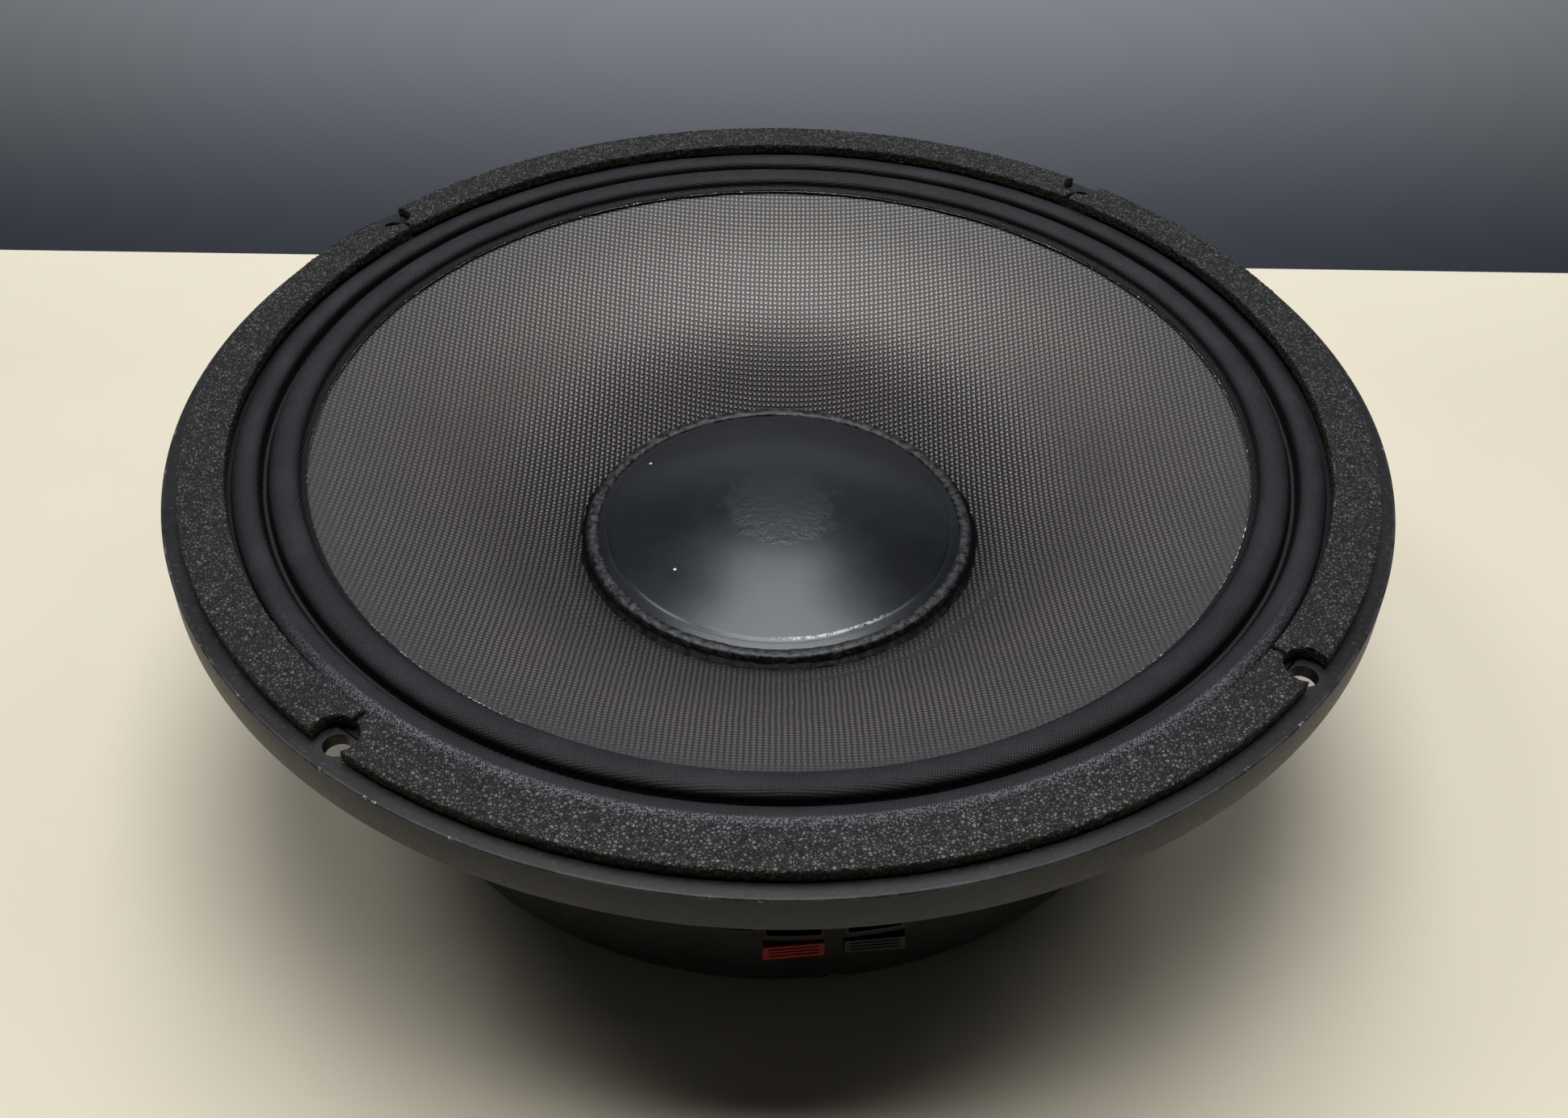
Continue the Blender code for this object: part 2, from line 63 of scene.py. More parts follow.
# ---- places read from the frame ----------------------------------------------------------
FLANGE_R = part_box("basket")[1].x
FLANGE_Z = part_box("basket")[1].z
GASKET_LOW_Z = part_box("gasket_segment_1")[0].z
GASKET_HIGH_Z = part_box("gasket_segment_1")[1].z
BACK_PLATE_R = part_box("back_plate")[1].x
CAP_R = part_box("dust_cap")[1].x
CAP_TOP_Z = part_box("dust_cap")[1].z

# ---- dimensions that the boxes don't give --------------------------------------------------
BOLT_PCD_R = 150.5 * MM
BOLT_HOLE_R = 3.25 * MM
BOLT_ANGLES = (45, 135, 225, 315)
GASKET_OUT_R = 153.5 * MM
GASKET_IN_R = 141.5 * MM
GASKET_NOTCH_R = 5.2 * MM
GASKET_SLIT = math.radians(0.15)
RECESS_R = 146.8 * MM
LEG_COUNT = 6
LEG_HALF_ANGLE = math.radians(5.8)
VENT_R = 14.0 * MM
COIL_OUT_R = 51.2 * MM
WINDING_R = (51.5 * MM, 52.4 * MM)
CONE_NECK = (51.5 * MM, 60.0 * MM)
CONE_EDGE = (125.5 * MM, 99.4 * MM)
CONE_BOW = 0.22
CONE_T = 1.2 * MM
CLOTH_T = 0.8 * MM
ROLL_BASE_Z = 100.1 * MM
ROLLS = ((137.2 * MM, 3.2 * MM, 2.6 * MM),     # each roll's crest radius, half width and height
         (127.8 * MM, 3.5 * MM, 2.4 * MM))
VALLEY = (132.7 * MM, 1.7 * MM)                # the groove between them: radius and depth
SEAM_R = 122.6 * MM                            # where the surround ends on the cone
CAP_RISE = 7.0 * MM
CAP_RIM_Z = CAP_TOP_Z - CAP_RISE
SPIDER_Z = 50.0 * MM
SPIDER_R = (53.0 * MM, 84.0 * MM, 91.0 * MM)
SPIDER_WAVES = 4
SPIDER_AMPLITUDE = 1.6 * MM
SCREW_RING_R = 101.0 * MM
POLE_X = 9.6 * MM                    # each wire pole, left and right of the middle
LEVER_PIVOT = (-115.7 * MM, 45.2 * MM)
LEVER_BORE_R = 1.2 * MM
LEAD_R = 1.0 * MM
LEAD_ROUTE = [(9.6, -103.0, 58.4), (9.6, -99.0, 58.4), (9.8, -93.0, 57.9), (10.0, -86.0, 56.9),
              (10.2, -78.5, 56.5), (10.2, -71.8, 57.9), (9.9, -66.6, 60.7), (9.6, -62.6, 63.1)]

WEAVE_TURN = math.radians(-6.7)      # the cone cloth's threads, from the X axis
RING_STEPS = 256
SHARP = 38                           # degrees, past which an edge isn't shaded smooth


# ---- materials -----------------------------------------------------------------------------
class Paint:
    """A material being built: each call adds a node and gives back its output socket."""

    def __init__(self, name, **sockets):
        self.made = bpy.data.materials.new(name)
        self.made.use_nodes = True
        self.tree = self.made.node_tree
        self.shader = self.tree.nodes["Principled BSDF"]
        self.place = self.node("ShaderNodeTexCoord").outputs["Object"]
        self.finish(**sockets)

    def node(self, kind, **settings):
        made = self.tree.nodes.new(kind)
        for key, value in settings.items():
            setattr(made, key, value)
        return made

    def feed(self, socket, value):
        if isinstance(value, bpy.types.NodeSocket):
            self.tree.links.new(value, socket)
        elif isinstance(value, tuple) and len(value) == 3 and socket.type == "RGBA":
            socket.default_value = (*value, 1.0)
        else:
            socket.default_value = value

    def chain(self, kind, values, output=0, **settings):
        made = self.node(kind, **settings)
        for socket, value in zip(made.inputs, values):
            self.feed(socket, value)
        return made.outputs[output]

    def math(self, operation, *values):
        return self.chain("ShaderNodeMath", values, operation=operation)

    def plus(self, a, b):
        return self.math("ADD", a, b)

    def minus(self, a, b):
        return self.math("SUBTRACT", a, b)

    def times(self, value, *factors):
        for factor in factors:
            value = self.math("MULTIPLY", value, factor)
        return value

    def step(self, value, low, high, to_low=0.0, to_high=1.0):
        """Smooth step of value from low to high, mapped onto to_low to to_high."""
        return self.chain("ShaderNodeMapRange", (value, low, high, to_low, to_high),
                          interpolation_type="SMOOTHSTEP")

    def near(self, value, middle, full, none):
        """1 where value is within full of middle, fading to 0 where it is none away."""
        return self.step(self.math("ABSOLUTE", self.minus(value, middle)), full, none, 1.0, 0.0)

    def vector(self, operation, *values, output=0):
        return self.chain("ShaderNodeVectorMath", values, output, operation=operation)

    def scaled(self, value, factor):
        made = self.vector("SCALE", value)
        made.node.inputs["Scale"].default_value = factor
        return made

    def noise(self, size, detail=3.0, roughness=0.55, place=None, distortion=0.0, output="Fac"):
        """Noise from 0 to 1 whose features are about size metres."""
        made = self.node("ShaderNodeTexNoise")
        self.feed(made.inputs["Vector"], place or self.place)
        for socket, value in (("Scale", 1 / size), ("Detail", detail),
                              ("Roughness", roughness), ("Distortion", distortion)):
            made.inputs[socket].default_value = value
        return made.outputs[output]

    def cells(self, size, output="Distance", place=None, **settings):
        made = self.node("ShaderNodeTexVoronoi", **settings)
        self.feed(made.inputs["Vector"], place or self.place)
        made.inputs["Scale"].default_value = 1 / size
        return made.outputs[output]

    def mix(self, amount, a, b):
        made = self.node("ShaderNodeMix", data_type="RGBA")
        for number, value in ((0, amount), (6, a), (7, b)):
            self.feed(made.inputs[number], value)
        return made.outputs[2]

    def clouds(self, size, dark, light, detail=4.0, roughness=0.6, high=0.7):
        """Noise, and the colour that drifts with it between dark and light."""
        cloud = self.noise(size, detail, roughness)
        return cloud, self.mix(self.step(cloud, 0.3, high), dark, light)

    def axes(self, place=None):
        made = self.node("ShaderNodeSeparateXYZ")
        self.feed(made.inputs[0], place or self.place)
        return made.outputs

    def radius(self):
        """Distance from the Z axis."""
        return self.vector("LENGTH", self.vector("MULTIPLY", self.place, (1, 1, 0)), output=1)

    def sector(self, start, start_full, end_full, end):
        """1 between two angles about the Z axis, in radians from +X, fading to 0 past them."""
        x, y, _ = self.axes()
        angle = self.math("ARCTAN2", y, x)
        return self.times(self.step(angle, start, start_full), self.step(angle, end, end_full))

    def facing_up(self):
        return self.axes(self.node("ShaderNodeNewGeometry").outputs["Normal"])[2]

    def bump(self, height, distance, strength=1.0, normal=None):
        made = self.node("ShaderNodeBump")
        made.inputs["Strength"].default_value = strength
        made.inputs["Distance"].default_value = distance
        self.feed(made.inputs["Height"], height)
        if normal:
            self.feed(made.inputs["Normal"], normal)
        return made.outputs[0]

    def weave(self, pitch, turn, wander):
        """Plain weave on the X/Y plane: 0 in its holes, 1 on its threads."""
        drift = self.noise(14 * MM, 2.0, 0.5, output="Color")
        drift = self.scaled(self.vector("SUBTRACT", drift, (0.5, 0.5, 0.5)), wander)
        turned_place = self.node("ShaderNodeVectorRotate", rotation_type="Z_AXIS")
        self.feed(turned_place.inputs["Vector"], self.vector("ADD", self.place, drift))
        turned_place.inputs["Angle"].default_value = turn
        x, y, _ = self.axes(turned_place.outputs[0])
        along = self.math("SINE", self.times(x, math.pi / pitch))
        across = self.math("SINE", self.times(y, math.pi / pitch))
        warp_on_top = self.step(self.times(along, across), -0.12, 0.12)
        a = self.math("ABSOLUTE", along)
        b = self.math("ABSOLUTE", across)
        warp = self.times(a, self.math("MULTIPLY_ADD", b, 0.6, 0.4))
        weft = self.times(b, self.math("MULTIPLY_ADD", a, 0.6, 0.4))
        return self.plus(self.times(warp_on_top, warp), self.times(self.minus(1.0, warp_on_top), weft))

    def finish(self, **sockets):
        """Feed the shader's sockets, such as Base_Color, Roughness and Normal."""
        for socket, value in sockets.items():
            self.feed(self.shader.inputs[socket.replace("_", " ")], value)
        return self.made


def frame_paint():
    """Satin black paint, worn to bright metal along the rim's outer edges, and lighter along both edges, part
    wear and part painted highlight.
    """
    p = Paint("frame_paint", Specular_IOR_Level=0.26)
    patches = p.noise(22 * MM, 4.0)
    speckle = p.noise(1.1 * MM, 4.0, 0.65)
    color = p.mix(p.step(patches, 0.35, 0.7), (0.0070, 0.0074, 0.0085), (0.0125, 0.0132, 0.0150))
    dust = p.times(p.step(speckle, 0.56, 0.72), p.step(p.facing_up(), 0.6, 0.95), 0.5)
    color = p.mix(dust, color, (0.060, 0.064, 0.074))

    def on_edge(value, middle, half_width):
        """1 on an edge of the rim, falling straight to 0 at half_width from it and on below."""
        away = p.math("ABSOLUTE", p.math("DIVIDE", p.minus(value, middle), half_width))
        return p.minus(1.0, away)
    radius = p.radius()
    height = p.axes()[2]
    edge = on_edge(p.plus(radius, height), FLANGE_R + FLANGE_Z - 0.35 * MM, 0.42 * MM)
    low_edge = on_edge(p.minus(radius, height), FLANGE_R - FLANGE_Z + 9.3 * MM, 0.30 * MM)
    chip = p.times(p.step(edge, 0.1, 0.5), p.step(p.noise(5 * MM, 5.0, 0.75), 0.60, 0.66))
    # lighter bands along the top and bottom edges: worn paint, made brighter to paint in the edges' highlight
    # lines
    rub_and_highlight = p.times(p.step(edge, -0.3, 0.8), p.step(p.noise(9 * MM, 5.0, 0.7), 0.38, 0.62))
    low_rub_and_highlight = p.times(p.step(low_edge, -0.2, 0.8), p.step(p.noise(12 * MM, 5.0, 0.7), 0.36, 0.6))
    color = p.mix(p.times(p.math("MAXIMUM", rub_and_highlight, low_rub_and_highlight), 0.3), color, (0.09, 0.095, 0.105))
    color = p.mix(chip, color, (0.30, 0.30, 0.30))
    grain = p.bump(p.noise(0.35 * MM, 3.0, 0.6), 0.05 * MM, 0.35)
    grain = p.bump(patches, 0.25 * MM, 0.25, grain)
    grain = p.bump(p.minus(1.0, chip), 0.12 * MM, 0.8, grain)
    return p.finish(Base_Color=color, Roughness=p.step(speckle, 0.3, 0.7, 0.42, 0.52),
                    Metallic=p.times(chip, 0.85), Normal=grain)


def cork_gasket():
    """Pressed cork and rubber granules: grey on the rolled face, brown where it is cut."""
    p = Paint("cork_gasket", Specular_IOR_Level=0.32)
    granule = 0.95 * MM
    stretched = p.vector("MULTIPLY", p.place, (1.0, 1.0, 1.6))
    tone = p.axes(p.cells(granule, "Color", stretched))[0]
    big_tone = p.axes(p.cells(2 * granule, "Color", stretched))[1]
    crevice = p.cells(granule, place=stretched, feature="DISTANCE_TO_EDGE")
    pits = p.noise(0.85 * MM, 4.0, 0.6, stretched)
    top_face = p.step(p.facing_up(), 0.25, 0.7)
    grey = p.mix(tone, (0.020, 0.021, 0.023), (0.094, 0.096, 0.102))
    grey = p.mix(p.times(big_tone, 0.4), grey, (0.042, 0.044, 0.047))
    brown = p.mix(tone, (0.010, 0.0075, 0.0045), (0.105, 0.072, 0.036))
    color = p.mix(top_face, brown, grey)
    middle_r = (GASKET_IN_R + GASKET_OUT_R) / 2
    edges = p.minus(1.0, p.near(p.radius(), middle_r, 5.0 * MM, 6.0 * MM))
    worn = p.times(edges, top_face, p.step(p.noise(3 * MM, 4.0), 0.35, 0.65))
    color = p.mix(worn, color, (0.095, 0.094, 0.088))
    # painted light: the top face is made lighter towards the front (-Y)
    front = p.times(p.step(p.axes()[1], -150 * MM, -90 * MM, 0.55, 0.0), top_face)
    color = p.mix(front, color, p.scaled(color, 1.9))
    # painted shade: the pits and crevices between the granules are made near black
    shaded_pits = p.times(p.step(crevice, 0.02, 0.18), p.step(pits, 0.44, 0.50))
    color = p.mix(shaded_pits, (0.0030, 0.0030, 0.0035), color)
    normal = p.bump(p.plus(shaded_pits, p.times(tone, 0.5)), 0.28 * MM, 0.9)
    normal = p.bump(p.noise(0.22 * MM), 0.08 * MM, 0.5, normal)
    return p.finish(Base_Color=color, Roughness=p.step(tone, 0.0, 1.0, 0.82, 0.58), Normal=normal)


def cone_cloth():
    """Resin-bonded plain weave, with a darker sealed band at its edge and glue smears near the cap."""
    p = Paint("cone_cloth", Specular_IOR_Level=0.75)
    weave = p.weave(1.40 * MM, -WEAVE_TURN, 0.5 * MM)
    fibre = p.noise(0.28 * MM, 3.0, 0.6)
    thread = p.clouds(26 * MM, (0.068, 0.058, 0.058), (0.098, 0.081, 0.079))[1]
    thread = p.mix(p.times(fibre, 0.35), thread, (0.15, 0.13, 0.13))
    # painted shade: the holes between the threads are made near black
    cloth = p.mix(p.step(weave, 0.36, 0.92), (0.0016, 0.0016, 0.0020), thread)
    radius = p.radius()
    # painted shade: darker towards the neck
    cloth = p.mix(p.step(radius, 58 * MM, 90 * MM, 0.35, 0.0), cloth, (0.004, 0.004, 0.0045))
    # painted shade: darker over the outer band, from 98 to 117 mm
    cloth = p.mix(p.step(radius, 98 * MM, 117 * MM, 0.0, 0.30), cloth, (0.006, 0.006, 0.007))
    ragged = p.math("MULTIPLY_ADD", p.noise(5 * MM, 4.0, 0.6), 1.6 * MM, radius)
    sealed = p.step(ragged, 117.9 * MM, 118.7 * MM, 0.0, 0.55)
    color = p.mix(sealed, cloth, (0.016, 0.016, 0.019))
    far_side = p.step(p.axes()[1], 0.0, 50 * MM, 0.0, 4 * MM)
    foot_r = p.plus(p.math("MULTIPLY_ADD", p.noise(7 * MM, 4.0), 5 * MM, radius), far_side)
    foot = p.step(foot_r, 58.5 * MM, 65 * MM)
    color = p.mix(foot, p.mix(0.75, cloth, (0.003, 0.003, 0.004)), color)

    wavy = p.math("MULTIPLY_ADD", p.noise(16 * MM, 2.0), 7 * MM, radius)
    blots = p.step(p.noise(3.8 * MM, 3.0, 0.7, distortion=1.2), 0.46, 0.49)
    smear = p.times(p.near(wavy, 67.6 * MM, 1.5 * MM, 2.3 * MM), p.sector(-1.75, -1.6, -0.62, -0.52), blots)
    color = p.mix(p.times(smear, 0.96), color, (0.003, 0.003, 0.0035))
    gloss = p.plus(p.step(weave, 0.2, 0.9, 0.56, 0.27), p.step(radius, 98 * MM, 116 * MM, 0.0, 0.10))
    gloss = p.plus(gloss, p.times(smear, 0.45))
    relief = p.times(weave, p.minus(1.0, p.times(smear, 0.7)), p.step(radius, 60 * MM, 88 * MM, 1.0, 0.3))
    normal = p.bump(fibre, 0.05 * MM, 0.35, p.bump(relief, 0.45 * MM))
    return p.finish(Base_Color=color, Roughness=gloss, Normal=normal)


def surround_cloth():
    """Doped cotton: blue-black, with the cloth's fine threads showing through."""
    p = Paint("surround_cloth", Specular_IOR_Level=0.22)
    weave = p.weave(0.62 * MM, -WEAVE_TURN, 0.6 * MM)
    fuzz = p.noise(0.5 * MM, 4.0, 0.7)
    cloud = p.noise(18 * MM, 4.0, 0.6)
    color = p.mix(p.step(weave, 0.1, 0.7), (0.0030, 0.0034, 0.0045), (0.0105, 0.0120, 0.0155))
    color = p.mix(p.step(cloud, 0.4, 0.75, 0.0, 0.5), color, (0.022, 0.025, 0.031))
    radius = p.radius()
    # worn threads at the outer roll's foot, made lighter at the front left to paint in their highlight
    worn_and_glinting = p.times(p.step(radius, 137.6 * MM, 138.4 * MM), p.step(fuzz, 0.44, 0.60), 0.8)
    color = p.mix(p.times(worn_and_glinting, p.sector(-2.75, -2.3, -1.0, -0.5)), color, (0.155, 0.165, 0.19))
    # painted shade: the valley between the rolls is made near black
    groove = p.near(radius, VALLEY[0], 1.1 * MM, 2.0 * MM)
    color = p.mix(groove, color, (0.0012, 0.0013, 0.0016))
    crease = p.near(radius, VALLEY[0], 0.06 * MM, 0.20 * MM)
    color = p.mix(p.times(crease, 0.5), color, (0.022, 0.024, 0.028))
    # painted shade: the lands at the gasket and at the cone are made near black
    lands = p.plus(p.step(radius, 140.1 * MM, 140.9 * MM), p.step(radius, 123.6 * MM, 124.8 * MM, 1.0, 0.0))
    color = p.mix(lands, color, (0.0015, 0.0016, 0.002))
    lint = p.step(p.noise(0.75 * MM, 2.0, 0.5), 0.72, 0.78, 0.0, 0.4)
    color = p.mix(lint, color, (0.12, 0.13, 0.14))
    normal = p.bump(fuzz, 0.14 * MM, 0.45, p.bump(weave, 0.12 * MM, 0.7))
    return p.finish(Base_Color=color, Roughness=p.step(fuzz, 0.3, 0.7, 0.62, 0.46), Normal=normal)


def spider_cloth():
    """Resin-stiffened woven cloth, amber brown."""
    p = Paint("spider_cloth", Specular_IOR_Level=0.35)
    weave = p.weave(0.8 * MM, 0.4, 0.4 * MM)
    color = p.clouds(15 * MM, (0.33, 0.21, 0.095), (0.46, 0.31, 0.15), roughness=0.55)[1]
    color = p.mix(p.step(weave, 0.1, 0.6), (0.10, 0.06, 0.025), color)
    return p.finish(Base_Color=color, Roughness=p.step(weave, 0, 1, 0.85, 0.65),
                    Normal=p.bump(weave, 0.2 * MM, 0.8))


def cap_coating():
    """Lacquered cap: satin blue-black, with a rougher pressed patch in its middle and dust specks."""
    p = Paint("cap_coating", Specular_IOR_Level=0.52, Specular_Tint=(0.86, 0.93, 1.0, 1.0))
    radius = p.radius()
    patch_edge = p.math("MULTIPLY_ADD", p.noise(11 * MM, 6.0, 0.75), 34 * MM, radius)
    patch = p.step(patch_edge, 26 * MM, 34 * MM, 1.0, 0.0)
    cloud, color = p.clouds(24 * MM, (0.0050, 0.0060, 0.0085), (0.0075, 0.0090, 0.0125))
    color = p.mix(p.times(patch, 0.5), color, (0.009, 0.010, 0.013))
    specks = p.step(p.cells(58 * MM, voronoi_dimensions="2D"), 0.005, 0.0085, 1.0, 0.0)
    color = p.mix(specks, color, (0.7, 0.7, 0.68))
    # painted highlight: a light broken arc at the dome's foot, on the front only
    arc = p.near(radius, 46.8 * MM, 0.25 * MM, 0.55 * MM)
    crumbs = p.step(p.noise(1.2 * MM, 3.0, 0.7), 0.44, 0.52)
    painted_foot_highlight = p.times(arc, p.sector(-1.75, -1.6, -1.2, -0.95), crumbs, 0.85)
    color = p.mix(painted_foot_highlight, color, (0.42, 0.44, 0.47))
    gloss = p.plus(p.step(cloud, 0.3, 0.7, 0.23, 0.28), p.times(patch, 0.06))
    normal = p.bump(p.noise(0.9 * MM, 3.0, 0.5), 0.04 * MM, 0.3)
    gritty = p.times(patch, p.noise(1.3 * MM, 4.0, 0.65))
    return p.finish(Base_Color=color, Roughness=gloss, Normal=p.bump(gritty, 0.22 * MM, 0.7, normal))


def black_glue():
    """Adhesive: a mottled grey ridge over the cap's edge, and a near-black skirt."""
    p = Paint("black_glue")
    lumps = p.noise(1.8 * MM, 4.0, 0.62)
    ridge = p.step(p.radius(), 53.0 * MM, 53.6 * MM, 1.0, 0.0)
    light = p.times(p.step(lumps, 0.42, 0.6), ridge)
    color = p.mix(light, (0.0018, 0.0020, 0.0030), (0.022, 0.024, 0.029))
    return p.finish(Base_Color=color, Roughness=p.step(lumps, 0.3, 0.7, 0.30, 0.5),
                    Normal=p.bump(lumps, 0.45 * MM, 0.75),
                    Specular_IOR_Level=p.math("MULTIPLY_ADD", ridge, 0.30, 0.06))


def clear_glue():
    """Dried contact cement along the cloth's edge: a dark line with pale glints painted into its colour, most
    at the front left and front right.
    """
    p = Paint("clear_glue", Specular_IOR_Level=0.6)
    grit = p.noise(0.8 * MM, 3.0, 0.6)
    left_front = p.times(p.sector(-2.75, -2.4, -1.6, -1.35), 0.15)
    right_front = p.times(p.sector(-0.95, -0.85, -0.5, -0.35), 0.11)
    # painted highlight: pale glints in the colour, more of them at the front left and front right
    painted_glint = p.step(p.plus(grit, p.plus(left_front, right_front)), 0.63, 0.66)
    color = p.mix(painted_glint, (0.012, 0.012, 0.014), (0.75, 0.75, 0.74))
    return p.finish(Base_Color=color, Roughness=p.step(grit, 0.3, 0.7, 0.45, 0.25),
                    Normal=p.bump(grit, 0.2 * MM, 0.8))


def ferrite():
    """Black-painted ceramic with the fine grain of pressed powder."""
    p = Paint("ferrite")
    color = p.clouds(14 * MM, (0.0022, 0.0022, 0.0024), (0.0055, 0.0055, 0.0060), 5.0, high=0.72)[1]
    grain = p.noise(0.6 * MM, 4.0, 0.7)
    chips = p.step(p.cells(7 * MM), 0.05, 0.09)
    color = p.mix(chips, (0.045, 0.045, 0.048), color)
    normal = p.bump(chips, 0.3 * MM, 0.6, p.bump(grain, 0.12 * MM, 0.5))
    return p.finish(Base_Color=color, Roughness=p.step(grain, 0.3, 0.7, 0.42, 0.62), Normal=normal)


def turned_steel(name, dark, light, rough, metallic=0.65):
    """Lathe-cut plate under thin black finish: fine rings about the axis."""
    p = Paint(name, Metallic=metallic)
    squeezed = p.chain("ShaderNodeCombineXYZ", (p.radius(), p.times(p.axes()[2], 0.4)))
    rings = p.noise(0.35 * MM, 3.0, 0.6, squeezed)
    cloud, color = p.clouds(20 * MM, dark, light)
    scuff = p.step(p.noise(6 * MM, 6.0, 0.75), 0.62, 0.7, 0.0, 0.3)
    color = p.mix(scuff, color, tuple(c * 4 + 0.02 for c in light))
    return p.finish(Base_Color=color, Roughness=p.step(cloud, 0.3, 0.7, rough, rough + 0.14),
                    Normal=p.bump(rings, 0.05 * MM, 0.5))


def bare_metal(name, dark, light, rough):
    p = Paint(name, Metallic=1.0)
    cloud, color = p.clouds(3 * MM, dark, light, 5.0, 0.65)
    return p.finish(Base_Color=color, Roughness=p.step(cloud, 0.3, 0.7, rough, rough + 0.18),
                    Normal=p.bump(p.noise(0.4 * MM, 3.0, 0.6), 0.03 * MM, 0.4))


def moulded_plastic(name, dark, light, rough):
    """Injection-moulded plastic with a fine spark texture."""
    p = Paint(name, Specular_IOR_Level=0.22)
    color = p.clouds(4 * MM, dark, light)[1]
    grain = p.noise(0.3 * MM, 3.0, 0.65)
    return p.finish(Base_Color=color, Roughness=p.step(grain, 0.3, 0.7, rough - 0.06, rough + 0.1),
                    Normal=p.bump(grain, 0.05 * MM, 0.5))


def banded(name, dark, light, rough, pitch, metallic=0.0):
    """Fine level bands about the axis, such as wound wire or rolled film."""
    p = Paint(name, Metallic=metallic)
    bands = p.math("SINE", p.times(p.axes()[2], 2 * math.pi / pitch))
    cloud = p.noise(5 * MM, 4.0, 0.6)
    color = p.mix(p.step(p.plus(cloud, p.times(bands, 0.15)), 0.3, 0.75), dark, light)
    return p.finish(Base_Color=color, Roughness=p.step(cloud, 0.3, 0.7, rough, rough + 0.15),
                    Normal=p.bump(bands, 0.05 * MM, 0.5))


FINISHES = {
    "frame_paint": frame_paint(),
    "cork_gasket": cork_gasket(),
    "black_steel": turned_steel("black_steel", (0.0025, 0.0025, 0.003), (0.006, 0.006, 0.007), 0.45),
    "ferrite": ferrite(),
    "screw_steel": bare_metal("screw_steel", (0.30, 0.30, 0.31), (0.46, 0.46, 0.47), 0.24),
    "vent_mesh": bare_metal("vent_mesh", (0.24, 0.24, 0.25), (0.40, 0.40, 0.41), 0.32),
    "cone_cloth": cone_cloth(),
    "surround_cloth": surround_cloth(),
    "spider_cloth": spider_cloth(),
    "cap_coating": cap_coating(),
    "black_glue": black_glue(),
    "clear_glue": clear_glue(),
    "coil_former": banded("coil_former", (0.40, 0.27, 0.12), (0.52, 0.37, 0.18), 0.35, 2.0 * MM),
    "copper_winding": banded("copper_winding", (0.62, 0.22, 0.08), (0.80, 0.34, 0.15), 0.25, 0.5 * MM, 1.0),
    "black_plastic": moulded_plastic("black_plastic", (0.006, 0.006, 0.0065), (0.011, 0.011, 0.012), 0.42),
    "red_plastic": moulded_plastic("red_plastic", (0.14, 0.0020, 0.0035), (0.19, 0.0035, 0.0055), 0.45),
    "brass": bare_metal("brass", (0.66, 0.46, 0.17), (0.82, 0.62, 0.28), 0.26),
    "tinsel_braid": bare_metal("tinsel_braid", (0.50, 0.30, 0.14), (0.74, 0.52, 0.32), 0.34),
}


# ---- shapes --------------------------------------------------------------------------------
def placed(name, data):
    thing = bpy.data.objects.new(name, data)
    bpy.context.scene.collection.objects.link(thing)
    return thing


def solid(name, points, faces, sharp=SHARP, merge=0.0):
    """Mesh object with its normals out, smooth apart from edges over sharp degrees."""
    mesh = bpy.data.meshes.new(name)
    mesh.from_pydata(np.asarray(points, float).tolist(), [], faces)
    made = bmesh.new()
    made.from_mesh(mesh)
    if merge:
        bmesh.ops.remove_doubles(made, verts=made.verts, dist=merge)
        bmesh.ops.delete(made, geom=[e for e in made.edges if not e.link_faces], context="EDGES")
        bmesh.ops.delete(made, geom=[v for v in made.verts if not v.link_faces], context="VERTS")
    bmesh.ops.recalc_face_normals(made, faces=made.faces)
    made.to_mesh(mesh)
    made.free()
    mesh.shade_smooth()
    mesh.set_sharp_from_angle(angle=math.radians(sharp))
    return placed(name, mesh)


def loft(name, loops, ring=False, **rest):
    """Skin over a row of equal point loops, with flat ends, or closed into a ring."""
    loops = np.asarray(loops, float)
    rows, count = loops.shape[:2]
    faces = []
    for i in range(rows if ring else rows - 1):
        a = i * count
        b = (i + 1) % rows * count
        faces += [(a + j, a + (j + 1) % count, b + (j + 1) % count, b + j) for j in range(count)]
    if not ring:
        faces += [tuple(range(count)), tuple(range((rows - 1) * count, rows * count))]
    return solid(name, loops.reshape(-1, 3), faces, **rest)


def turned(name, profile, steps=RING_STEPS, shape=None, **rest):
    """Turn a closed (radius, height) outline about Z; shape(r, a, z) may move its points."""
    profile = np.asarray(profile, float)
    angle = np.linspace(0, 2 * math.pi, steps, endpoint=False)[:, None]
    r, z = (np.broadcast_to(column, (steps, len(profile))) for column in profile.T)
    if shape:
        r, z = shape(r, angle, z)
    loops = np.stack([r * np.cos(angle), r * np.sin(angle), z], -1)
    touches_axis = profile[:, 0].min() < 1e-7
    return loft(name, loops, ring=True, merge=1e-7 if touches_axis else 0.0, **rest)


def soften(outline, radius, steps=4):
    """Round a closed outline's corners. A point may give its own radius as a third number."""
    made = []
    count = len(outline)
    for i, point in enumerate(outline):
        here = Vector(point[:2])
        a = Vector(outline[i - 1][:2]) - here
        b = Vector(outline[(i + 1) % count][:2]) - here
        half = a.angle(b) / 2
        wanted = point[2] if len(point) > 2 else radius
        cut = min(wanted / math.tan(half), 0.46 * a.length, 0.46 * b.length)
        center = here + (a.normalized() + b.normalized()).normalized() * cut / math.cos(half)
        start = here + a.normalized() * cut - center
        end = here + b.normalized() * cut - center
        first = math.atan2(start.y, start.x)
        turn = (math.atan2(end.y, end.x) - first + math.pi) % (2 * math.pi) - math.pi
        for k in range(steps + 1):
            t = first + turn * k / steps
            made.append((center.x + start.length * math.cos(t), center.y + start.length * math.sin(t)))
    return made


